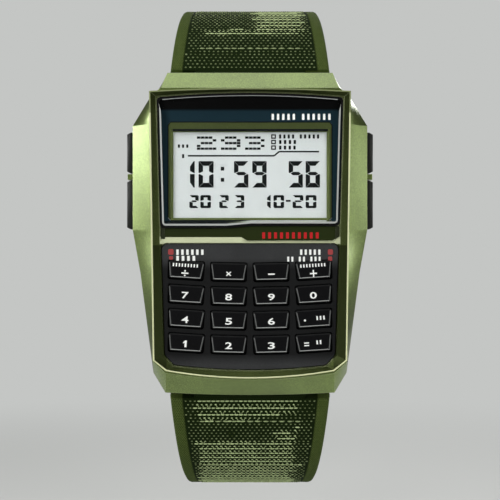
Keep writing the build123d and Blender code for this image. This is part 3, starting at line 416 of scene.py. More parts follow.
def backSteelMaterial(name):
    # case back: brushed along its length, with turned rings between two cut lines round the middle
    look = backLook
    material, shader, place = startMaterial(name, look["dark"], 0.3, 1.0)
    brush = effect(place.id_data, "brushedLines", {"Vector": place, "Lines": look["lines"]})["Tone"]
    radius = vectorMaths("LENGTH", vectorMaths("MULTIPLY", inMillimetres(place), (1, 0, 1)))
    rings = graded(maths("SINE", times(radius, 2 * pi / look["pitch"])), 0.5, 0.5)
    rings = times(rings, between(radius, look["inner"], look["outer"]))
    lines = maths("ADD", *[between(radius, look[r] - look["line"], look[r] + look["line"]) for r in ("inner", "outer")])
    plain = mixColours(brush, look["dark"], look["light"])
    feed(shader, {
        "Base Color": mixColours(maths("MAXIMUM", times(rings, 0.4), times(lines, 0.8)), plain, look["cut"]),
        "Roughness": graded(brush, 0.3, 0.16), "Normal": bumped(graded(rings, 0.8, times(brush, 0.2)), 0.35, 0.08),
    })
    return material


def mixedOutput(tree, share, a, b):
    mixed = addNode(tree, "ShaderNodeMixShader", {0: share, 1: a.outputs[0], 2: b.outputs[0]})
    feed(tree.nodes["Material Output"], {"Surface": mixed.outputs[0]})


def rays(tree, kind):
    return tree.nodes.new("ShaderNodeLightPath").outputs["Is " + kind + " Ray"]


crystalLook = dict(shadow=(0.93, 0.95, 0.95), index=1.45, grain=1.2, cloud=7.0, smudge=0.015)


def crystalMaterial(name):
    # clear glass whose shadow lets light through, with a few fine smudges in its gloss
    look = crystalLook
    material, shader, place = startMaterial(name, (1, 1, 1), 0.0)
    tree = place.id_data
    smudge = times(speckle(place, look["grain"], look["cloud"])["Cloudiness"], look["smudge"])
    feed(shader, {"Transmission Weight": 1.0, "IOR": look["index"], "Roughness": smudge})
    clear = addNode(tree, "ShaderNodeBsdfTransparent", {"Color": (*look["shadow"], 1)})
    mixedOutput(tree, rays(tree, "Shadow"), shader, clear)
    return material


# glow is painted light: the LCD field, the crystal strips and the white and red prints glow as if more brightly lit
inks = {
    # band: painted dark reflection across the top of the mask
    "maskBlue": dict(base=(0.0135, 0.040, 0.056), roughness=0.35, spread=0.2, band=(18.2, 18.6), gloss=0.15),
    "lcdField": dict(base=(0.50, 0.525, 0.52), spread=0.03, glow=0.20),
    # painted highlight strips on the crystal's bevels
    "groundEdge": dict(base=(0.55, 0.57, 0.56), roughness=0.25, spread=0.03, glow=0.10),
    "panelDark": dict(base=(0.014, 0.022, 0.0015), spread=0.3, gloss=0.15),
    "segmentInk": dict(base=(0.0025, 0.004, 0.004), spread=0.1, gloss=0.1),
    "whiteInk": dict(base=(0.82, 0.83, 0.80), spread=0.06, glow=0.12),
    "redInk": dict(base=(0.44, 0.006, 0.008), spread=0.1, glow=0.12),
    "softRedInk": dict(base=(0.36, 0.05, 0.05), spread=0.1),
}


def inkMaterial(name, base, spread, roughness=0.5, glow=0.0, band=None, gloss=0.3):
    # a print or a display field: nearly even, with a soft cloud in it
    material, shader, place = startMaterial(name, base, roughness, 0.0, gloss)
    grain = speckle(place, 0.1, 14.0)
    colour = mixColours(graded(grain["Cloudiness"], 0.8, times(grain["Tone"], 0.2)), *tones(base, spread))
    if band:  # painted dark reflection of the crystal's top facet: black above this height
        colour = mixColours(ramp(split(place)[2], band[0] * mm, band[1] * mm), colour, (0.0008, 0.0008, 0.0008))
    feed(shader, {"Base Color": colour})
    # painted light: the print or field glows as if more brightly lit
    if glow:
        feed(shader, {"Emission Color": colour, "Emission Strength": glow})
    return material


paints.update({name: steelMaterial(name, **look) for name, look in metals.items()})
paints.update({name: inkMaterial(name, **look) for name, look in inks.items()})
paints["backSteel"], paints["crystalGlass"] = backSteelMaterial("backSteel"), crystalMaterial("crystalGlass")
print("finishes made")

# CAD nodes that keep their shape
buttons = [side + "_" + place for side in ("left", "right") for place in ("upper", "lower")]
dressed = {
    "crystalGlass": "crystal", "olivePaint": "case_shell", "bezelPaint": "bezel_frame", "backSteel": "case_back",
    "borderPaint": "window_frame", "plateInk": "keypad_plate", "maskBlue": "display_mask", "lcdField": "lcd_glass",
    "sealRubber": "crystal_gasket key_membrane case_back_gasket zebra_strips",
    "frameBlack": "module_frame board_parts", "boardGreen": "circuit_board", "guideWhite": "backlight_panel",
    "bareBrass": "buzzer_disc",
    "brushedSteel": "coin_battery battery_clamp buzzer_spring spring_bar_upper spring_bar_lower buckle_bar "
    + " ".join("button_" + kind + tag for kind in ("clip_", "spring_") for tag in buttons),
}
for paint, nodes in dressed.items():
    for node in nodes.split():
        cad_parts[node].data.materials.clear()
        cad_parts[node].data.materials.append(paints[paint])

# side buttons and buckle, with eased edges
for tag in buttons:
    softCopy("button_" + tag, "sideButton." + tag, 0.12, "buttonBlack", "button_" + tag, "button_black")
softCopy("buckle_frame", "buckleFrame", 0.28, "olivePaint", "buckle", "buckle_paint", 3)
softCopy("buckle_tongue", "buckleTongue", 0.16, "olivePaint", "tongue", "buckle_paint")
print("case, buttons and buckle dressed")


# flat prints
def turnToFront(work):
    for face in work.faces:
        if face.normal.y > 0:
            face.normal_flip()


def film(name, points, faces, ink, body, slot, thickness):
    # flat faces with a thin body on them
    piece = meshPiece(name, points, faces, paints[ink])
    edit(piece.data, turnToFront)
    solid = piece.modifiers.new("film", "SOLIDIFY")
    solid.thickness, solid.offset = thickness * mm, 1
    carried(settled(piece), body, slot)


def outlined(shapes):
    # points and faces of separate outlines
    points, faces = [], []
    for shape in shapes:
        faces.append(list(range(len(points), len(points) + len(shape))))
        points += shape
    return points, faces


def barShape(x0, x1, y0, y1, cut=0.0):
    if not cut:
        return [(x0, y0), (x1, y0), (x1, y1), (x0, y1)]
    return [
        (x0 + cut, y0), (x1 - cut, y0), (x1, y0 + cut), (x1, y1 - cut),
        (x1 - cut, y1), (x0 + cut, y1), (x0, y1 - cut), (x0, y0 + cut),
    ]


def tickRow(x0, x1, y0, y1, counts, fill=0.5):
    # short upright ticks in groups, in the place of a small printed word
    gap, cut = 0.8, 0.05
    pitch, x, shapes = (x1 - x0) / (sum(counts) + gap * (len(counts) - 1)), x0, []
    for count in counts:
        for _ in range(count):
            shapes.append(barShape(x, x + pitch * fill, y0, y1, cut))
            x += pitch
        x += gap * pitch
    return shapes


crystalPlan = dict(
    low=9.45, top=9.9, foot=1.33, footRight=1.65, stepLeft=-3.5, stepRight=0.15, footHalf=12.42, corner=0.6,
    lean=0.02643, inset=0.5, levels=(19.4, 19.0, 18.4, 17.75, 12.0, 6.0), end=19.45, facet=17.75, fall=0.2638,
    topMiddle=20.70, topHalf=12.94, bow=0.00358, strip=(0.16, 0.66), stripLift=0.016, line=(0.02, 0.12), lineLift=0.012,
)


def crystalSide(side, foot):
    # the bevel's outer and inner ends and how much of it is there, from the top down to the foot
    plan, pairs = crystalPlan, []
    corner, inset, footHalf, turnY = plan["corner"], plan["inset"], plan["footHalf"], foot + plan["corner"]
    for y in (*plan["levels"], turnY):
        x = side * (footHalf + corner + plan["lean"] * (y - turnY))
        most = min((plan["end"] - y) / (plan["end"] - plan["facet"]), 1)
        pairs.append(((x, y), (x - side * inset, y), most))
    for i in range(1, 8):
        turn, radii = pi / 2 * i / 8, (corner, corner - inset)
        pairs.append((*((side * (footHalf + r * cos(turn)), turnY - r * sin(turn)) for r in radii), 1))
    return pairs


def crystalEdges():
    # painted highlights: pale glowing strips along the bevels at the sides and foot, and a thin line along the bowed
    # top edge
    plan = crystalPlan
    low, rise, foot, footRight = plan["low"], plan["top"] - plan["low"], plan["foot"], plan["footRight"]
    steps = [(-plan["footHalf"], foot), (plan["stepLeft"], foot)]
    steps += [(plan["stepRight"], footRight), (plan["footHalf"], footRight)]
    pairs = crystalSide(-1, foot) + [((x, y), (x, y + plan["inset"]), 1) for x, y in steps]
    pairs += reversed(crystalSide(1, footRight))
    strip, rim = [], []
    for (x0, y0), (x1, y1), most in pairs:
        shares = [min(share, most * 0.95) for share in plan["strip"]]
        strip.append([at(x0 + (x1 - x0) * u, y0 + (y1 - y0) * u, low + rise * u + plan["stripLift"]) for u in shares])
    for i in range(25):
        x = plan["topHalf"] * (i / 12 - 1)
        ys = [plan["topMiddle"] - plan["bow"] * x * x - back for back in plan["line"]]
        rim.append([at(x, y, plan["top"] - plan["fall"] * (y - plan["facet"]) + plan["lineLift"]) for y in ys])
    shapes = [[a[0], b[0], b[1], a[1]] for row in (strip, rim) for a, b in zip(row, row[1:])]
    film("crystalEdges", *outlined(shapes), "groundEdge", "case", "crystal_glass", 0.008)


# digits are (digit, left, right); strokes are upright, flat, cut and mitre; bars are left, right, low and high
displayPlan = dict(
    bigLow=7.08, bigHeight=3.93, bigStroke=(0.70, 0.70, 0.07, 0.95),
    big=[("1", -9.83, -8.22), ("0", -7.65, -5.42), ("5", -2.38, -0.24), ("9", 0.34, 2.47), ("5", 5.75, 7.85),
         ("6", 8.27, 10.40)],
    smallLow=4.02, smallHeight=1.94, smallStroke=(0.54, 0.36, 0.14, 0.7),
    small=[("2", -9.01, -7.63), ("0", -7.38, -5.81), ("2", -4.57, -3.16), ("3", -2.29, -0.85),
           ("1", 1.64, 3.08), ("0", 3.49, 5.07), ("2", 6.33, 7.93), ("0", 8.27, 9.88)],
    dots=[("2", -7.90), ("9", -4.32), ("3", -0.74)], dotTop=14.51, dotPitch=(0.59, 0.412), dotSize=(0.54, 0.35),
    bars=[(-4.34, -3.83, 9.60, 10.16), (-4.34, -3.83, 7.95, 8.51), (5.34, 6.04, 4.96, 5.25)],
    squares=[(14.33, 15.0), (13.51, 14.18), (12.69, 13.36)], squareSides=(3.14, 3.86), squareLine=0.19,
    divider=[(-9.24, 11.8), (3.58, 11.8), (4.32, 12.42), (10.28, 12.42)], dividerHalf=0.12,
    ticks=[(4.32, 10.6, 14.36, 14.98, (4, 5)), (4.32, 7.2, 13.55, 14.15, (4,)), (4.32, 7.15, 12.72, 13.32, (4,)),
           (-10.73, -8.85, 12.99, 13.5, (3,))],
    mark=(-10.1, -9.78, 11.45, 12.05, 0.05),
)
litSegments = {
    "0": "abcdef", "2": "abged", "3": "abgcd", "4": "fgbc", "5": "afgcd", "6": "afgedc", "7": "abc",
    "8": "abcdefg", "9": "abcdfg",
}
dotRows = {
    "2": ["11110", "00001", "01110", "10000", "11111"], "9": ["01110", "10001", "01111", "00001", "11110"],
    "3": ["11110", "00001", "01110", "00001", "11110"],
}


def digitShapes(digit, x0, x1, low, height, t, bar, cut, mitre):
    # seven segments with upright stroke t, flat stroke bar, outer corners cut, inner ones mitred
    w, h, g, n = x1 - x0, height, t * 0.10, t * mitre
    m = h * 0.53
    if digit == "1":
        both = [[(0, h * 0.8), (t * 0.75, h), (t, h), (t, m + g), (t * 0.8, m + g), (0, m + h * 0.1)],
                [(0, m - g), (t, m - g), (t, 0), (t * 0.75, 0), (0, h * 0.2)]]
        return [[(x1 - t + x, low + y) for x, y in shape] for shape in both]
    half, lens, c, b = t / 2, bar * 0.36, cut * 0.6, bar * mitre

    def upright(outer, way):
        return [
            (cut - c, outer - way * c), (t - g / 2, outer - way * (b + g / 2)), (t - g / 2, m + way * (lens + g)),
            (half * 0.5, m + way * g), (0, m + way * g * 2), (0, outer - way * cut),
        ]

    shapes = {
        "a": [(c, h - cut + c), (cut, h), (w - cut, h), (w - c, h - cut + c),
              (w - n - g / 2, h - bar), (n + g / 2, h - bar)],
        "g": [(half * 0.8, m), (t * 0.9, m + lens), (w - t * 0.9, m + lens), (w - half * 0.8, m),
              (w - t * 0.9, m - lens), (t * 0.9, m - lens)],
        "f": upright(h, 1), "e": upright(0, -1),
    }
    shapes["d"] = [(x, h - y) for x, y in shapes["a"]]
    shapes["b"], shapes["c"] = ([(w - x, y) for x, y in shapes[name]] for name in "fe")
    return [[(x0 + x, low + y) for x, y in shapes[name]] for name in litSegments[digit]]


def displayShapes():
    plan, shapes = displayPlan, []
    for kind in ("big", "small"):
        for digit, x0, x1 in plan[kind]:
            shapes += digitShapes(digit, x0, x1, plan[kind + "Low"], plan[kind + "Height"], *plan[kind + "Stroke"])
    (stepX, stepY), (wide, tall) = plan["dotPitch"], plan["dotSize"]
    for digit, x0 in plan["dots"]:
        for row, line in enumerate(dotRows[digit]):
            y = plan["dotTop"] - row * stepY - tall / 2
            lit = [x0 + column * stepX for column in range(5) if line[column] == "1"]
            shapes += [barShape(x, x + wide, y, y + tall) for x in lit]
    shapes += [barShape(*bar) for bar in plan["bars"]] + [barShape(*plan["mark"])]
    (x0, x1), t = plan["squareSides"], plan["squareLine"]
    for y0, y1 in plan["squares"]:  # small and hollow
        shapes += [barShape(x0, x1, y1 - t, y1), barShape(x0, x1, y0, y0 + t)]
        shapes += [barShape(x0, x0 + t, y0 + t, y1 - t), barShape(x1 - t, x1, y0 + t, y1 - t)]
    for start, end in zip(plan["divider"], plan["divider"][1:]):
        a, b = Vector(start), Vector(end)
        side = (b - a).normalized().orthogonal() * plan["dividerHalf"]
        shapes.append([tuple(p) for p in (a + side, b + side, b - side, a - side)])
    for row in plan["ticks"]:
        shapes += tickRow(*row)
    return shapes


windowCorner = [(11.75, 16.66), (11.75, 16.82), (12.2, 16.3), (12.06, 16.26)]
windowBarsAndShadow = [
    # the first bar is painted shadow under the border's top lip; the others are dark outline lines
    (-11.45, 11.52, 15.38, 15.72), (-11.75, 11.75, 16.66, 16.82), (-11.75, 11.75, 2.1, 2.24),
    (-12.2, -12.06, 2.6, 16.3), (12.06, 12.2, 2.6, 16.3), (-12.9, 12.9, 1.86, 2.06),
]
panelOutline = [
    (-13.1, 1.0), (-13.1, -0.34), (-1.36, -0.34), (-0.42, -0.86), (12.15, -0.86), (13.05, -0.24), (13.05, 1.3),
    (0.3, 1.3), (-3.4, 1.0),
]
plateMarks = [
    (-12.1, -11.3, -2.9, -2.06, 0.14), (-11.95, -11.38, -3.62, -3.1, 0.1),
    (11.5, 12.26, -2.9, -2.1, 0.14), (11.55, 12.15, -3.8, -3.16, 0.1),
]
plateTicks = [
    (-10.9, -6.5, -2.92, -2.12, (6,)), (-10.9, -7.7, -3.80, -3.06, (4,)),
    (7.4, 10.75, -2.92, -2.12, (5,)), (5.5, 10.75, -3.92, -3.18, (2, 2, 3)),
]
# level, ink, slot, thickness and shapes of each print
prints = {
    "windowLines": (8.42, "segmentInk", "mask_ink", 0.01, [barShape(*bar) for bar in windowBarsAndShadow]
                    + [[(side * x, y) for x, y in windowCorner] for side in (-1, 1)]),
    "displaySegments": (7.605, "segmentInk", "lcd", 0.015, displayShapes()),
    "maskTicks": (8.42, "whiteInk", "mask_ink", 0.012, tickRow(3.2, 12.35, 17.06, 17.84, (5, 6), 0.46)),
    "panelFloor": (9.052, "panelDark", "olive_paint", 0.012, [panelOutline]),
    "bridgeTicks": (9.068, "redInk", "olive_paint", 0.02, tickRow(1.8, 10.6, -0.5, 0.42, (10,))),
    "plateTicks": (9.152, "whiteInk", "plate_plastic", 0.02, [tick for row in plateTicks for tick in tickRow(*row)]),
    "plateMarks": (9.152, "softRedInk", "plate_plastic", 0.02, [barShape(*mark) for mark in plateMarks]),
}
crystalEdges()
for name, (level, ink, slot, thickness, shapes) in prints.items():
    placed = [[at(x, y, level) for x, y in shape] for shape in shapes]
    film(name, *outlined(placed), ink, "case", slot, thickness)
print("prints and display made")

# keys and their signs
keyPlan = dict(
    pitchX=6.3, pitchY=3.58, firstRow=-5.5, rowRadius=150.0, height=2.7, highRise=0.1, lowRise=0.72, plateTop=9.15,
    draft=0.466, lip=0.07, bevel=0.055, edge=0.09, cornerShare=0.414, cornerDepth=0.19,
    # painted highlight on the key rims: where each strength applies
    rimHighlightLow=(-1.15, 1.0), rimHighlightSide=(1.5, 1.0, 0.35), rimHighlightElse=0.03,
)
keyRows = [
    ["divide", "multiply", "minus", "plus"], ["7", "8", "9", "0"], ["4", "5", "6", "point"], ["1", "2", "3", "equals"],
]
keyLook = dict(
    dark=(0.0025, 0.0025, 0.003), light=(0.006, 0.006, 0.0065), rimHighlight=(0.36, 0.37, 0.36), grain=0.12, cloud=3.0,
)
signSize = dict(width=1.02, height=0.98, bold=0.018, bar=0.2, lift=0.004, thickness=0.015)


def keyPlace(row, column, a, b, h):
    # a point a across and b towards 12 o'clock from a key's middle
    plan = keyPlan
    x = (column - 1.5) * plan["pitchX"]
    turn = asin(x / plan["rowRadius"])
    y = plan["firstRow"] - row * plan["pitchY"] + plan["rowRadius"] * (1 - cos(turn))
    return at(x + a * cos(turn) - b * sin(turn), y + a * sin(turn) + b * cos(turn), h)


def keyRise(b):
    plan = keyPlan
    return (plan["lowRise"] + plan["highRise"]) / 2 - (plan["lowRise"] - plan["highRise"]) / plan["height"] * b


def roundShape(x, y, r, count=14):
    return [(x + r * cos(2 * pi * i / count), y + r * sin(2 * pi * i / count)) for i in range(count)]


t = signSize["bar"] / 2  # half a stroke
plusSign = [
    (-0.52, -t), (-t, -t), (-t, -0.52), (t, -0.52), (t, -t), (0.52, -t),
    (0.52, t), (t, t), (t, 0.52), (-t, 0.52), (-t, t), (-0.52, t),
]
signShapes = {
    "minus": [barShape(-0.5, 0.5, -t, t)], "plus": [plusSign],
    "multiply": [[((x - y) * 0.62, (x + y) * 0.55) for x, y in plusSign]],
    "divide": [barShape(-0.52, 0.52, -t, t), roundShape(0, 0.33, 0.13), roundShape(0, -0.33, 0.13)],
    "1": [[(-0.30, 0.22), (-0.02, 0.49), (0.24, 0.49), (0.24, -0.49), (-0.08, -0.49), (-0.08, 0.16), (-0.30, 0.02)]],
    "equals": [barShape(-0.36, 0.36, 0.1, 0.27), barShape(-0.36, 0.36, -0.27, -0.1)],
    "point": [roundShape(0, -0.05, 0.16)],
}
# ticks in the place of the small words
cornerTicks = [barShape(-2.0 + 0.44 * i, -1.80 + 0.44 * i, 0.50, 0.98) for i in range(9)]
sideTicks = [barShape(0.35 + 0.5 * i, 0.58 + 0.5 * i, -0.2, 0.38) for i in range(3)]
signTicks = {"divide": cornerTicks, "plus": cornerTicks, "point": sideTicks, "equals": sideTicks[:2]}


def digitMesh(digit):
    # the plain built-in type, thickened and stretched to the sign's box
    curve = bpy.data.curves.new("sign", "FONT")
    curve.body, curve.size, curve.offset, curve.resolution_u = digit, 1.0, signSize["bold"], 3
    text = addObject("sign", curve)
    graph = bpy.context.evaluated_depsgraph_get()
    mesh = bpy.data.meshes.new_from_object(text.evaluated_get(graph))
    bpy.data.objects.remove(text)
    xs, ys = [v.co.x for v in mesh.vertices], [v.co.y for v in mesh.vertices]
    sizeX, sizeY = signSize["width"] / (max(xs) - min(xs)), signSize["height"] / (max(ys) - min(ys))
    middleX, middleY = (max(xs) + min(xs)) / 2, (max(ys) + min(ys)) / 2
    flat = [((x - middleX) * sizeX, (y - middleY) * sizeY) for x, y in zip(xs, ys)]
    return flat, [list(f.vertices) for f in mesh.polygons]


def keySign(name, row, column):
    shiftX = {"point": -1.35, "equals": -1.1}.get(name, -0.12 if column in (0, 3) else 0.0)
    shiftY = {"divide": -0.42, "multiply": -0.25, "minus": -0.3, "plus": -0.45}.get(name, -0.1)
    flat, faces = outlined(signShapes[name]) if name in signShapes else digitMesh(name)
    ticks, tickFaces = outlined(signTicks.get(name, []))
    faces += [[len(flat) + v for v in face] for face in tickFaces]
    flat = [(x + shiftX, y + shiftY) for x, y in flat] + ticks
    top = keyPlan["plateTop"] + signSize["lift"]
    points = [keyPlace(row, column, a, b, top + keyRise(b)) for a, b in flat]
    film("keySign." + name, points, faces, "whiteInk", "key_" + name, "key_plastic", signSize["thickness"])


def slopedTop(work, row, column):
    # drafted sides and a sloping face, with a painted highlight on each edge: brightest towards 6 o'clock
    plan = keyPlan
    middle = keyPlace(row, column, 0, 0, 0)
    along = (keyPlace(row, column, 1, 0, 0) - middle).normalized()
    rim = work.faces.layers.float.new("rim")
    flat = max(work.faces, key=lambda face: -face.calc_center_median().y)
    outline, spots = list(flat.verts), []
    for v in outline:
        gap = (v.co - middle) / mm
        spots.append((gap.x * along.x + gap.z * along.z, gap.z * along.x - gap.x * along.z))
    widest, count = max(abs(a) for a, _ in spots), len(spots)
    (low, rimHighlightLow), (beside, high, rimHighlightSide) = plan["rimHighlightLow"], plan["rimHighlightSide"]
    rings = [outline]
    for below, inset in ((plan["lip"], 0.0), (0.0, plan["bevel"]), (0.0, plan["edge"] + plan["bevel"])):
        ring = []
        for a0, b0 in spots:
            onSide, b = abs(a0) > widest - plan["cornerDepth"], b0
            shareA, shareB = (1, plan["cornerShare"]) if onSide else (plan["cornerShare"], 1)
            for _ in range(4):  # the draft depends on the height, and the height on the place
                t = (keyRise(b) - below) * plan["draft"] + inset
                b = b0 - t * shareB * (1 if b0 > 0 else -1)
            a = a0 - t * shareA * (1 if a0 > 0 else -1)
            ring.append(work.verts.new(keyPlace(row, column, a, b, plan["plateTop"] + keyRise(b) - below)))
        rings.append(ring)
    for level, (lower, upper) in enumerate(zip(rings, rings[1:])):
        for i in range(count):
            j = (i + 1) % count
            side = work.faces.new((lower[i], lower[j], upper[j], upper[i]))
            b, a = (spots[i][1] + spots[j][1]) / 2, abs(spots[i][0] + spots[j][0]) / 2
            if level:
                side[rim] = rimHighlightLow if b < low else rimHighlightSide if a > beside and b < high else plan["rimHighlightElse"]
    work.faces.new(rings[3])
    bmesh.ops.delete(work, geom=[flat], context="FACES_ONLY")
    bmesh.ops.recalc_face_normals(work, faces=work.faces)


def keyTop(name, row, column):
    key = mergedCopy("key_" + name, "keyTop." + name)
    edit(key.data, lambda work: slopedTop(work, row, column))
    key.data.materials.append(paints["keyBlack"])
    smoothBy(key.data, 30)
    carried(key, "key_" + name, "key_plastic", "key_" + name)


def attribute(tree, name):
    return addNode(tree, "ShaderNodeAttribute", attribute_name=name).outputs["Fac"]


def keyMaterial(name):
    # black moulded plastic, its edges lighter with painted highlight
    look = keyLook
    material, shader, place = startMaterial(name, look["dark"], 0.4, 0.0, 0.1)
    grain = speckle(place, look["grain"], look["cloud"])
    body = mixColours(grain["Tone"], look["dark"], look["light"])
    feed(shader, {
        "Base Color": mixColours(attribute(place.id_data, "rim"), body, look["rimHighlight"]),
        "Roughness": graded(grain["Tone"], 0.14, 0.25), "Normal": bumped(grain["Height"], 0.05, look["grain"]),
    })
    return material


paints["keyBlack"] = keyMaterial("keyBlack")
for row, names in enumerate(keyRows):
    for column, name in enumerate(names):
        keyTop(name, row, column)
        keySign(name, row, column)
print("keys made")

# the strap's two halves follow the same arcs as the frame; patches are two distances along and two across
strapShape = dict(
    width=24.4, endWidth=18.0, taper=58.0, thickness=1.9, tabHalf=8.5, barY=21.9, barH=3.4, loopRadius=1.8,
    bendEnd=100.0, tip=7.0, foldLength=12, step=0.8,
)
halves = {
    "upper": dict(end=1, start=24.75, leave=34.0, bend=28.0, back=62.0, length=68.0, seed=3, beyond=25.0,
                  patches=[(8.2, 20.0, 0.6, 8.4), (8.2, 9.9, -6.6, 1.4)]),
    "lower": dict(end=-1, start=24.3, leave=32.0, bend=37.0, back=92.0, length=108.0, seed=8, beyond=33.0,
                  patches=[(-2.0, 4.6, -8.2, 2.4), (-2.0, 3.3, 0.0, 7.3), (8.8, 31.0, -8.0, 7.2),
                           (6.3, 9.5, 4.0, 7.2)]),
}
fabricLook = dict(
    ground=(0.003, 0.007, 0.001), mid=(0.015, 0.028, 0.005), selvage=(0.11, 0.15, 0.038), edge=(0.30, 0.36, 0.22),
    light=(0.74, 0.88, 0.46), across=0.70, along=0.68, fineAcross=0.35, fineAlong=0.34, bump=0.6, edgeWidth=0.16,
    selvageWidth=(1.75, 2.0), gloss=0.05,
)


def arcEnd(y, h, turned, radius, length):
    further = turned + length / radius
    return y + radius * (sin(further) - sin(turned)), h - radius * (cos(turned) - cos(further)), further


def bandAt(half, s):
    # y, h and heading (radians turned from straight out) at a distance along the band
    leave, bendEnd = radians(half["leave"]), radians(strapShape["bendEnd"])
    reach = strapShape["loopRadius"] - strapShape["thickness"] / 2
    rootY, rootH = strapShape["barY"] + reach * sin(leave), strapShape["barH"] + reach * cos(leave)
    y0, bendLength = half["start"], half["bend"] * (bendEnd - leave)
    h0 = rootH - (y0 - rootY) / cos(leave) * sin(leave)
    if s < 0:
        return half["end"] * (y0 + s * cos(leave)), h0 - s * sin(leave), leave
    y, h, turned = arcEnd(y0, h0, leave, half["bend"], min(s, bendLength))
    if s > bendLength:
        y, h, turned = arcEnd(y, h, turned, half["back"], s - bendLength)
    return half["end"] * y, h, turned


def halfWidthAt(half, s):
    share, tip = min(max(s, 0) / strapShape["taper"], 1), strapShape["tip"]
    wide = (strapShape["width"] + share * (strapShape["endWidth"] - strapShape["width"])) / 2
    past = s - (half["length"] - tip)
    if half["end"] < 0 and past > 0:
        radius = (wide ** 2 + tip ** 2) / (2 * tip)
        drop = past + radius - tip
        wide = min(wide, sqrt(max(radius ** 2 - drop ** 2, 0.0)))
    return wide


def besideBand(half, s, up):
    # y and h of a point off the band's middle line, up out of its outer face
    y, h, turned = bandAt(half, s)
    return y + up * half["end"] * sin(turned), h + up * cos(turned)


def onBand(half, s, across, up):
    return at(across, *besideBand(half, s, up))


def onFace(half, s, across, face, sink):
    # a little below the outer (+1) or inner (-1) face
    return onBand(half, s, across, face * (strapShape["thickness"] / 2 - sink))


def outOf(half, s):
    _, _, turned = bandAt(half, s)
    return Vector((0, -cos(turned), half["end"] * sin(turned)))


# groove is distances in from the edge and down from the top
sectionPlan = dict(field=2.1, sink=0.05, count=25, groove=[(1.98, 0.13), (1.85, 0.02), (1.2, 0.0)], radius=0.55)


def bandSection(wide, thick):
    # a woven band's section: a field with a groove at each side, then thicker selvages with round edges
    plan, half, share = sectionPlan, thick / 2, min(1.0, wide / 4)
    inner, radius, last = wide - plan["field"] * share, min(plan["radius"], half) * share, plan["count"] - 1
    field = [(inner * (2 * i / last - 1), half - plan["sink"]) for i in range(last + 1)]
    side = [(wide - back * share, half - down) for back, down in plan["groove"]] + [(wide - radius, half)]
    top = [(-a, up) for a, up in reversed(side)] + field + side
    bend = [(wide - radius + radius * sin(pi * i / 6), half * cos(pi * i / 6)) for i in range(1, 6)]
    return top + bend + [(a, -up) for a, up in reversed(top)] + [(-a, -up) for a, up in bend]


def softSection(halfWidth, thick, count, power):
    # a flat section with rounded edges
    section = []
    for k in range(count):
        c, s = cos(2 * pi * k / count), sin(2 * pi * k / count)
        section.append((halfWidth * copysign(abs(c) ** power, c), thick / 2 * copysign(abs(s) ** 0.6, s)))
    return section


def weaveMesh(name, points, faces, corners, inside):
    mesh = bpy.data.meshes.new(name)
    mesh.from_pydata([tuple(p) for p in points], [], faces)
    layer = mesh.uv_layers.new(name="weave")
    for face, pairs in zip(mesh.polygons, corners):
        for loop, pair in zip(face.loop_indices, pairs):
            layer.data[loop].uv = pair
    edge = mesh.attributes.new("inside", "FLOAT", "POINT")  # millimetres in from the band's edge
    edge.data.foreach_set("value", inside)
    faceOutwards(mesh)
    smoothBy(mesh, 50)
    return addObject(name, mesh, paints["webbing"])


def sweptBand(name, rings, uvs, closed=False, tip=1000.0):
    # rings of points joined into a tube, with the weave's own coordinates in millimetres
    count = len(rings[0])
    faces, corners = tubeFaces(len(rings), count, closed), []
    for face in faces:
        i, j = face[0] // count, face[2] // count
        vi, vj = uvs[i][1], uvs[j][1] if j else 2 * uvs[i][1] - uvs[i - 1][1]
        corners.append([(uvs[p // count][0][p % count], v) for p, v in zip(face, (vi, vi, vj, vj))])
    if not closed:
        for i in (0, len(rings) - 1):
            faces.append(tuple(range(i * count, (i + 1) * count)))
            corners.append([(a, uvs[i][1]) for a in uvs[i][0]])
    inside = [max(min(max(map(abs, row)) - abs(a), tip - v), 0.0) for row, v in uvs for a in row]
    return weaveMesh(name, [p for ring in rings for p in ring], faces, corners, inside)


def joined(pieces, name):
    # several bands as one piece
    points, faces, corners, inside = [], [], [], []
    for piece in pieces:
        mesh, start = piece.data, len(points)
        weave = mesh.uv_layers["weave"].data
        points += [v.co.copy() for v in mesh.vertices]
        inside += [v.value for v in mesh.attributes["inside"].data]
        for face in mesh.polygons:
            faces.append([start + v for v in face.vertices])
            corners.append([tuple(weave[loop].uv) for loop in face.loop_indices])
        bpy.data.objects.remove(piece)
    return weaveMesh(name, points, faces, corners, inside)


def fabricMaterial(name):
    # webbing: a dark ground, selvages of finer and lighter threads, and lighter along the very edge
    look = fabricLook
    material, shader, place = startMaterial(name, look["mid"], 0.85, 0.0, look["gloss"])
    tree, cloud = place.id_data, speckle(place, 0.3, 3.0)
    weave, inside = addNode(tree, "ShaderNodeUVMap", uv_map="weave").outputs[0], attribute(tree, "inside")
    size = {"Vector": weave, "Across": look["fineAcross"], "Along": look["fineAlong"]}
    fine = effect(tree, "wovenThreads", size)
    tone = times(fine["Height"], maths("ADD", fine["Fibre"], 0.35))
    field = mixColours(tone, look["ground"], look["mid"])
    speckled = mixColours(times(tone, maths("ADD", cloud["Tone"], 0.5)), look["mid"], look["selvage"])
    banded = mixColours(ramp(inside, *look["selvageWidth"], 1.0, 0.0), field, speckled)
    atEdge = ramp(inside, look["edgeWidth"] * 0.5, look["edgeWidth"], 1.0, 0.0)
    feed(shader, {
        "Base Color": mixColours(times(atEdge, graded(fine["Height"], 0.7, 0.3)), banded, look["edge"]),
        "Roughness": graded(fine["Fibre"], 0.2, 0.7), "Normal": bumped(fine["Height"], look["bump"], 0.10),
    })
    return material


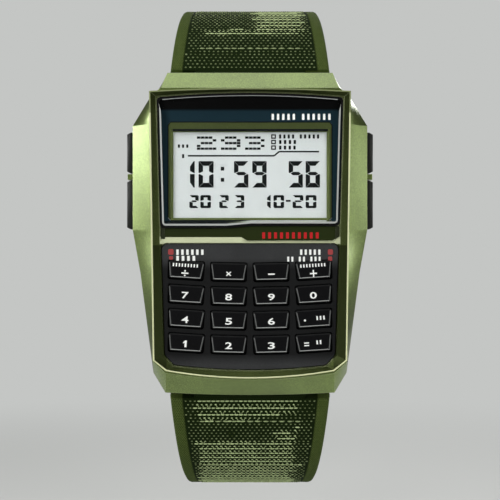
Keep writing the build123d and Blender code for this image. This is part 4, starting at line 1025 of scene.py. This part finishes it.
def threadMaterial(name):
    # separate threads: their tone is an attribute, with fibres in it
    look = fabricLook
    material, shader, place = startMaterial(name, look["mid"], 0.8, 0.0, look["gloss"])
    fibre = speckle(place, 0.06, 0.4)
    colour = mixColours(attribute(place.id_data, "tone"), look["mid"], look["light"])
    shaded = mixColours(times(fibre["Tone"], 0.4), colour, look["selvage"])
    feed(shader, {"Base Color": shaded, "Normal": bumped(fibre["Height"], 0.3, 0.05)})
    return material


paints["webbing"], paints["strapThreads"] = fabricMaterial("webbing"), threadMaterial("strapThreads")


def bandPiece(tag):
    half, pointed = halves[tag], halves[tag]["end"] < 0
    stop = half["length"] - (0.02 if pointed else 1.2)
    count = int(stop / strapShape["step"])
    stations = [stop * i / count for i in range(count + 1)]
    if pointed:
        first = half["length"] - strapShape["tip"]
        stations = [s for s in stations if s < first]
        stations += [first + strapShape["tip"] * sin(pi / 2 * i / 12) * 0.998 for i in range(13)]
    rings, uvs = [], []
    for s in stations:
        section = bandSection(max(halfWidthAt(half, s), 0.5), strapShape["thickness"])
        rings.append([onBand(half, s, a, up) for a, up in section])
        uvs.append(([a for a, _ in section], s))
    return sweptBand("strapBand." + tag, rings, uvs, tip=half["length"] if pointed else 1000.0)


# over is distances along and heights from the layer's own place, under is distances along
foldPlan = dict(over=[(0.9, -0.275), (0.1, -0.1), (-0.8, 0.0)], under=(1.2, 2.5, 4.0, 6.0), turns=15)


def foldLine(half):
    # middle line of the single layer that goes round the spring bar and back under the band
    layer, end = strapShape["thickness"] / 4, half["end"]
    radius = strapShape["loopRadius"] - 2 * layer
    line = [besideBand(half, s, layer + up) for s, up in foldPlan["over"]]
    for i in range(foldPlan["turns"]):
        turn = pi / 2 - radians(half["leave"]) + radians(15 * i)  # from the bar's front round its inner side
        line.append((end * (strapShape["barY"] + radius * cos(turn)), strapShape["barH"] + radius * sin(turn)))
    return line + [besideBand(half, s, -layer) for s in foldPlan["under"]]


def sweptLine(name, line, section, place, out, closed=False):
    # a section carried along flat points, out to one side of them; place puts an across and a point into space
    rings, uvs, run, last = [], [], 0.0, len(line) - 1
    for i, here in enumerate(line):
        after, before = line[(i + 1) % len(line) if closed else min(i + 1, last)], line[i - 1 if closed or i else 0]
        along = (after - before).normalized()
        run += (here - line[i - 1]).length if i else 0
        rings.append([place(a, here + along.orthogonal() * (out * up)) for a, up in section])
        uvs.append(([a for a, _ in section], run))
    return sweptBand(name, rings, uvs, closed)


def ribbon(name, line, halfWidth, thick):
    # a flat band of one thickness along a line of (y, h) points
    section = softSection(halfWidth, thick, 24, 0.12)
    return sweptLine(name, [Vector(p) for p in line], section, lambda a, p: at(a, *p), 1)


buckleEnd = dict(layer=0.9, radius=1.25, inner=1.5, outer=8.7, out=[(3.2, 0.475), (1.6, 0.6)])


def buckleLoop():
    # the end of the 12 o'clock half round the buckle's bar, in two lugs beside the tongue's slot
    plan, half = buckleEnd, halves["upper"]
    y0, h0, turned = bandAt(half, half["length"])
    line = [besideBand(half, half["length"] - back, up) for back, up in plan["out"]]
    for i in range(13):
        turn = turned + radians(15 * i)
        line.append((y0 + plan["radius"] * sin(turn), h0 + plan["radius"] * cos(turn)))
    line += [besideBand(half, half["length"] - back, -up) for back, up in reversed(plan["out"])]
    lugs = []
    for side in (-1, 1):
        lug = ribbon("lug", line, (plan["outer"] - plan["inner"]) / 2, plan["layer"])
        lug.data.transform(Matrix.Translation((side * (plan["inner"] + plan["outer"]) / 2 * mm, 0, 0)))
        lugs.append(lug)
    return lugs


# repeated threads, stitches, rims and screws by one kind of tree
def instanceTree(name):
    tree = bpy.data.node_groups.new(name, "GeometryNodeTree")
    inputs = {"Geometry": "Geometry", "Shape": "Object", "Size": "Float", "Uneven": "Float", "Seed": "Int"}
    defaults = {"Size": 1.0, "Uneven": 0.0, "Seed": 1}
    for label, kind in {**inputs, "Material": "Material"}.items():
        socket = tree.interface.new_socket(name=label, in_out="INPUT", socket_type="NodeSocket" + kind)
        if label in defaults:
            socket.default_value = defaults[label]
    tree.interface.new_socket(name="Geometry", in_out="OUTPUT", socket_type="NodeSocketGeometry")
    given, out = tree.nodes.new("NodeGroupInput").outputs, tree.nodes.new("NodeGroupOutput")

    def step(kind, inputs, **settings):
        return addNode(tree, kind, inputs, **settings).outputs

    def named(label):
        return step("GeometryNodeInputNamedAttribute", {"Name": label}, data_type="FLOAT_VECTOR")["Attribute"]

    shape = step("GeometryNodeObjectInfo", {"Object": given["Shape"]})["Geometry"]
    stood = step("FunctionNodeAlignRotationToVector", {"Vector": named("outward")}, axis="Z")["Rotation"]
    turned = {"Vector": named("across"), "Rotation": stood}
    turned = step("FunctionNodeAlignRotationToVector", turned, axis="X", pivot_axis="Z")["Rotation"]
    low, high = maths("SUBTRACT", 1.0, given["Uneven"]), maths("ADD", 1.0, given["Uneven"])
    chance = step("FunctionNodeRandomValue", {2: low, 3: high, "Seed": given["Seed"]}, data_type="FLOAT")[1]
    size = {0: named("stretch"), "Scale": times(given["Size"], chance)}
    size = step("ShaderNodeVectorMath", size, operation="SCALE")[0]
    placed = {"Points": given["Geometry"], "Instance": shape, "Rotation": turned, "Scale": size}
    real = step("GeometryNodeRealizeInstances", {0: step("GeometryNodeInstanceOnPoints", placed)[0]})[0]
    feed(out, {0: step("GeometryNodeSetMaterial", {"Geometry": real, "Material": given["Material"]})[0]})
    return tree


repeatTree = instanceTree("repeatOnPoints")


def repeated(name, places, shape, paint, body, slot, uneven=0.0, seed=1, smoothAngle=60, replaced=None):
    # places: point, outward, across, stretch and tone of each copy
    mesh = bpy.data.meshes.new(name)
    mesh.from_pydata([tuple(p[0]) for p in places], [], [])
    directions = {"outward": 1, "across": 2, "stretch": 3}
    for label, column in directions.items():
        layer = mesh.attributes.new(label, "FLOAT_VECTOR", "POINT")
        layer.data.foreach_set("vector", [c for p in places for c in p[column]])
    tone = mesh.attributes.new("tone", "FLOAT", "POINT")
    tone.data.foreach_set("value", [p[4] for p in places])
    piece = addObject(name, mesh)
    copies = piece.modifiers.new("copies", "NODES")
    copies.node_group = repeatTree
    sockets = {s.name: s.identifier for s in repeatTree.interface.items_tree if s.in_out == "INPUT"}
    for label, value in {"Shape": shape, "Material": paints[paint], "Uneven": uneven, "Seed": seed}.items():
        copies[sockets[label]] = value
    settled(piece, smoothAngle)
    for label in directions:
        if label in piece.data.attributes:
            piece.data.attributes.remove(piece.data.attributes[label])
    return carried(piece, body, slot, replaced)


def turnedRings(levels, sides, closed=False):
    # points and faces of rings round z, one for each radius and height; capped, or closed like a torus
    turns = [2 * pi * k / sides for k in range(sides)]
    points = [(r * cos(turn) * mm, r * sin(turn) * mm, z * mm) for r, z in levels for turn in turns]
    faces = tubeFaces(len(levels), sides, closed)
    if not closed:
        faces += [tuple(reversed(range(sides))), tuple(range(len(points) - sides, len(points)))]
    return points, faces


def domeShape(name, rings, sides):
    # a rounded nub with a flat underside, a millimetre across before it is stretched
    leans = [pi / 2 * r / rings for r in range(rings)]
    points, faces = turnedRings([(0.5 * cos(lean), sin(lean)) for lean in leans], sides)
    tip, last = len(points), len(points) - sides
    faces[-1:] = [(last + k, last + (k + 1) % sides, tip) for k in range(sides)]
    return meshPiece(name, points + [(0, 0, mm)], faces)


nub, stitch = domeShape("nubShape", 2, 6), domeShape("stitchShape", 3, 8)
holePlan = dict(radius=1.1, pitch=6.5, count=6, first=16.0, clear=1.6, rim=0.14, rimRadius=1.26, rimTone=0.12)
# sizes are across, along and up
threadPlan = dict(
    sink=0.06, margin=2.2, dash=(0.74, 0.27, 0.13), dot=(0.34, 0.25, 0.12), dotSpread=(0.06, 0.04, 0.0),
    link=(0.46, 0.15, 0.10), linkLean=0.6, dashTone=0.85, dotTone=(0.24, 0.45), linkTone=(0.42, 0.35),
    dashFrom=0.55, linkFrom=0.45, linkRare=-0.25, unevenTone=0.24, patchyTone=0.16,
)
# rows are a distance along, half a width and a face, those at the buckle counted back from the band's end
stitchPlan = dict(
    pitch=1.15, size=(0.85, 0.26, 0.13), tone=0.5, sink=0.03, rows=[(4.6, 8.0, -1), (5.6, 8.0, -1), (4.6, 8.0, 1)],
    buckleRows=[(8.0, 7.6, 1), (8.0, 7.6, -1), (6.9, 7.6, 1), (6.9, 7.6, -1)],
)


def holePlaces(half):
    return [half["length"] - holePlan["first"] - n * holePlan["pitch"] for n in range(holePlan["count"])]


# scales are noise across and along, and a step of its seed
blotchPlan = dict(
    ragged=(0.55, 0.9, 3.1), wide=(0.10, 0.085, 7.3), side=0.8, rough=1.3, steep=1.6, start=0.4, spread=6.0, rare=0.08,
)


def blotch(half, s, across):
    # how pale the woven pattern is at a place on the strap: 0 is plain dots, 1 is full dashes
    plan, spot = blotchPlan, (across, s, half["seed"])
    ragged, wide = (noise.noise(Vector([p * k for p, k in zip(spot, plan[kind])])) for kind in ("ragged", "wide"))
    near = max(
        min(s - s0, s1 - s, (across - a0) * plan["side"], (a1 - across) * plan["side"])
        for s0, s1, a0, a1 in half["patches"]
    )
    if s > half["beyond"]:  # past what the photo shows
        near = max(near, plan["spread"] * (wide - plan["rare"]))
    return min(max((near + plan["rough"] * ragged) * plan["steep"] + plan["start"], 0.0), 1.0)


def threadEnds(half, s, a, odd):
    # one thread end, and a slanting link up or down to the dashes beside it
    plan, out, seed = threadPlan, outOf(half, s), half["seed"]
    pale, uneven = blotch(half, s, a), noise.noise(Vector((a * 3.1, s * 3.7, seed)))
    patchy = noise.noise(Vector((a * 0.5, s * 0.5, seed + 20)))
    dash, (plain, paler) = pale > plan["dashFrom"] and not odd, plan["dotTone"]
    size = plan["dash"] if dash else [w + spread * uneven for w, spread in zip(plan["dot"], plan["dotSpread"])]
    tone = plan["dashTone"] if dash else plain + paler * pale
    tone += plan["unevenTone"] * uneven + plan["patchyTone"] * patchy
    here = onFace(half, s, a, 1, plan["sink"])
    places = [(here, out, (1, 0, 0), size, tone)]
    if pale > plan["linkFrom"] and odd and uneven > plan["linkRare"]:
        lean = plan["linkLean"] if uneven > 0 else -plan["linkLean"]
        forward = (onFace(half, s + 0.5, a, 1, plan["sink"]) - here).normalized()
        place, (tone, spread) = onFace(half, s + 0.30, a + 0.3 * lean, 1, plan["sink"]), plan["linkTone"]
        places.append((place, out, tuple(forward + Vector((lean, 0, 0))), plan["link"], tone + spread * uneven))
    return places


def threadPlaces(half):
    # every thread end on the outer face, in rows that are staggered by half a pitch
    pitch, places, punched = fabricLook["across"], [], holePlaces(half) if half["end"] < 0 else []
    for r in range(int((half["length"] - 1.2) / fabricLook["along"])):
        s = 0.5 + r * fabricLook["along"]
        wide = halfWidthAt(half, s) - threadPlan["margin"]
        columns = int(2 * wide / pitch)
        if columns < 2:
            continue
        for c in range(columns + 1):
            a = -columns * pitch / 2 + (0.5 * pitch if r % 2 else 0) + c * pitch
            onHole = any((p - s) ** 2 + a * a < holePlan["clear"] ** 2 for p in punched)
            if abs(a) <= wide + 0.05 and not onHole:
                places += threadEnds(half, s, a, r % 2)
    return places


def stitchRow(half, s, reach, face):
    # one row of stitches across the band, on its outer (+1) or inner (-1) face
    plan, out = stitchPlan, outOf(half, s) * face
    count = int(2 * reach / plan["pitch"])
    across = [-reach + (i + 0.5) * 2 * reach / count for i in range(count)]
    return [(onFace(half, s, a, face, plan["sink"]), out, (1, 0, 0), plan["size"], plan["tone"]) for a in across]


def cutHoles(band, half):
    # the row of holes, cut right through
    work, size = bmesh.new(), holePlan["radius"] * mm
    for s in holePlaces(half):
        low, high = onBand(half, s, 0, -2), onBand(half, s, 0, 2)
        place = Matrix.Translation((low + high) / 2) @ (high - low).to_track_quat("Z", "Y").to_matrix().to_4x4()
        depth = (high - low).length
        bmesh.ops.create_cone(work, cap_ends=True, segments=28, radius1=size, radius2=size, depth=depth, matrix=place)
    carve(band, work, 50)


def holeRims(half, body):
    radius, thick, leans = holePlan["rimRadius"], holePlan["rim"], [2 * pi * k / 6 for k in range(6)]
    levels = [(radius + thick * cos(lean), 0.6 * thick * sin(lean)) for lean in leans]
    rim = meshPiece("rimShape", *turnedRings(levels, 24, closed=True))
    places = [
        (onFace(half, s, 0, face, 0.04), outOf(half, s) * face, (1, 0, 0), (1, 1, 1), holePlan["rimTone"])
        for s in holePlaces(half) for face in (-1, 1)
    ]
    rims = repeated("holeRims", places, rim, "strapThreads", body, "webbing")
    bpy.data.objects.remove(rim)
    return rims


def strapHalf(tag):
    half, body, shape = halves[tag], "strap_" + tag, strapShape
    length, wide, narrow, taper = half["length"], shape["width"], shape["endWidth"], shape["taper"]
    band = bandPiece(tag)
    if tag == "lower":
        cutHoles(band, half)
    fold = ribbon("fold", foldLine(half), shape["tabHalf"], shape["thickness"] / 2 - 0.02)
    fold.data.attributes["inside"].data.foreach_set("value", [5.0] * len(fold.data.vertices))
    band = joined([band, fold] + (buckleLoop() if tag == "upper" else []), "strap." + tag)
    carried(band, body, "webbing", body)
    threads = threadPlaces(half)
    extras = [repeated("strapThreads." + tag, threads, nub, "strapThreads", body, "webbing", 0.12, 5, 80)]
    rows = list(stitchPlan["rows"])
    if tag == "upper":
        rows += [(length - back, reach, face) for back, reach, face in stitchPlan["buckleRows"]]
    stitches = [place for row in rows for place in stitchRow(half, *row)]
    extras.append(repeated("strapStitches." + tag, stitches, stitch, "strapThreads", body, "webbing", 0.05, 2))
    if tag == "lower":
        extras.append(holeRims(half, body))


for tag in halves:
    strapHalf(tag)
print("strap halves made")

# keepers: loops of the same webbing
keeperPlan = dict(width=5.0, wall=0.9, sideGap=0.45, innerGap=0.3, room=2.6, corner=1.0, fixed=9.0, free=23.0)


def keeperLoop(name, fromBar, body, node):
    plan, half = keeperPlan, halves["upper"]
    s, wall, corner, thick = half["length"] - fromBar, plan["wall"], plan["corner"], strapShape["thickness"]
    x = halfWidthAt(half, s) + plan["sideGap"] + wall / 2 - corner
    low, high = -thick / 2 - plan["innerGap"] - wall / 2 + corner, thick / 2 + plan["room"] + wall / 2 - corner
    outline = []
    for cx, cy, start in ((x, high, 0), (-x, high, 90), (-x, low, 180), (x, low, 270)):
        for i in range(7):
            turn = radians(start + 15 * i)
            outline.append(Vector((cx + corner * cos(turn), cy + corner * sin(turn))))
    dense = []
    for a, b in zip(outline, outline[1:] + outline[:1]):
        steps = max(int(abs(b.x - a.x) / 1.5), 1)
        dense += [a + (b - a) * i / steps for i in range(steps)]
    y0, h0, turned = bandAt(half, s)

    def place(a, p):
        return at(p.x, y0 + p.y * sin(turned) + a * cos(turned), h0 + p.y * cos(turned) - a * sin(turned))

    section = softSection(plan["width"] / 2, wall, 20, 0.2)
    carried(sweptLine(name, dense, section, place, -1, closed=True), body, "keeper_webbing", node)


keeperLoop("keeperLoop.fixed", keeperPlan["fixed"], "strap_upper", "fixed_keeper")
keeperLoop("keeperLoop.free", keeperPlan["free"], "free_keeper", "free_keeper")
print("keepers made")

# case back screws; turns are the first head's and the step to the next
screwPlan = dict(x=11.7, y=17.7, radius=0.85, sink=-0.06, depth=0.45, slot=0.3, bevel=0.06, crossLength=1.2,
                 crossDepth=0.6, turns=(0.4, 1.1))


def screwShape():
    # a flat head with an eased rim and a cross recess, its face towards +z
    plan = screwPlan
    levels = [(1.0, -plan["depth"]), (1.0, -plan["bevel"]), (0.93, 0.0)]
    head = meshPiece("screwShape", *turnedRings([(plan["radius"] * share, z) for share, z in levels], 24))
    work, size = bmesh.new(), Vector((plan["crossLength"], plan["slot"], plan["crossDepth"])) * mm
    for turn in (0, pi / 2):
        bmesh.ops.create_cube(work, size=1.0, matrix=Matrix.Rotation(turn, 4, "Z") @ Matrix.Diagonal((*size, 1)))
    carve(head, work, 30, overlapping=True)
    return head


screw, screwPlaces = screwShape(), []
for i, (sx, sy) in enumerate(((-1, -1), (-1, 1), (1, -1), (1, 1))):
    turn = screwPlan["turns"][0] + screwPlan["turns"][1] * i
    place = at(sx * screwPlan["x"], sy * screwPlan["y"], screwPlan["sink"])
    screwPlaces.append((place, (0, 1, 0), (cos(turn), 0, sin(turn)), (1, 1, 1), 0.5))
repeated("backScrews", screwPlaces, screw, "screwSteel", "case", "steel", smoothAngle=30, replaced="case_back_screws")
for shape in (nub, stitch, screw):
    bpy.data.objects.remove(shape)
print("screws made")

# room, light and camera
studio = dict(
    floorGap=17.4, half=1.8, near=0.03, far=0.32, dim=0.04, pale=0.60, tint=(0.92, 0.94, 0.92),
    floorDark=(0.60, 0.61, 0.59), floorLight=(0.64, 0.65, 0.63), floorFar=(0.16, 0.165, 0.155),
)
# place, target, size and power
lights = {
    "frontLeft": ((-0.22, -0.30, 0.12), (0, 0, 0), (0.14, 0.22), 0.78),
    "frontRight": ((0.24, -0.30, 0.06), (0, 0, 0), (0.12, 0.20), 0.42),
    "frontLow": ((0.0, -0.30, -0.20), (0, 0, -0.03), (0.20, 0.08), 0.42),
    "topFront": ((0.0, -0.20, 0.34), (0, 0, 0), (0.30, 0.08), 0.30),
    "overhead": ((0.0, 0.25, 0.90), (0, 0.1, 0), (1.2, 0.8), 3.6),
    "rimLeft": ((-0.36, 0.12, 0.045), (-0.01, 0, 0.01), (0.10, 0.06), 0.34),
    "rimRight": ((0.36, 0.12, 0.014), (0.01, 0, 0), (0.08, 0.025), 0.13),
    "backSoft": ((0.10, 0.42, 0.16), (0, 0.03, 0), (0.30, 0.30), 1.3),
}
photoCamera = dict(place=(0, -0.2002, -0.0022), lens=93.06, sensor=36)


def paleFloor():
    # a pale floor that melts into the pale room behind it as the camera sees it
    z, half = cadBox[0].z - studio["floorGap"] * mm, studio["half"]
    material, shader, place = startMaterial("paleFloor", studio["floorLight"], 0.8)
    tree, cloud = place.id_data, speckle(place, 1.0, 120.0)["Cloudiness"]
    tone = mixColours(cloud, studio["floorDark"], studio["floorLight"])
    away = vectorMaths("LENGTH", place)
    faded = ramp(away, studio["near"], studio["far"], interpolation_type="SMOOTHSTEP")
    feed(shader, {"Base Color": mixColours(faded, tone, studio["floorFar"])})
    haze = addNode(tree, "ShaderNodeEmission", {"Color": (*studio["tint"], 1), "Strength": studio["pale"]})
    mixedOutput(tree, times(faded, rays(tree, "Camera")), shader, haze)
    points = [(x, y, z) for x, y in barShape(-half, half, -half, half)]
    meshPiece("paleFloor", points, [(0, 1, 2, 3)], material)


def areaLight(name, place, target, size, power):
    light = bpy.data.lights.new(name, "AREA")
    light.shape, light.size, light.size_y, light.energy = "RECTANGLE", *size, power
    lamp = addObject(name, light)
    lamp.location = place
    lamp.rotation_euler = (Vector(target) - Vector(place)).to_track_quat("-Z", "Y").to_euler()


paleFloor()
for name, values in lights.items():
    areaLight(name, *values)
world = bpy.data.worlds.new("softRoom")
bpy.context.scene.world = world
world.use_nodes = True
room = world.node_tree
strength = graded(rays(room, "Camera"), studio["pale"] - studio["dim"], studio["dim"])
feed(room.nodes["Background"], {0: (*studio["tint"], 1), 1: strength})

view = bpy.data.cameras.new("photoView")
camera = addObject("photoView", view)
camera.location, camera.rotation_euler = photoCamera["place"], (pi / 2, 0, 0)
view.lens, view.sensor_width, view.clip_start, view.clip_end = photoCamera["lens"], photoCamera["sensor"], 0.01, 10
bpy.context.scene.camera = camera
bpy.context.scene.view_settings.view_transform = "Standard"

bpy.context.view_layer.update()
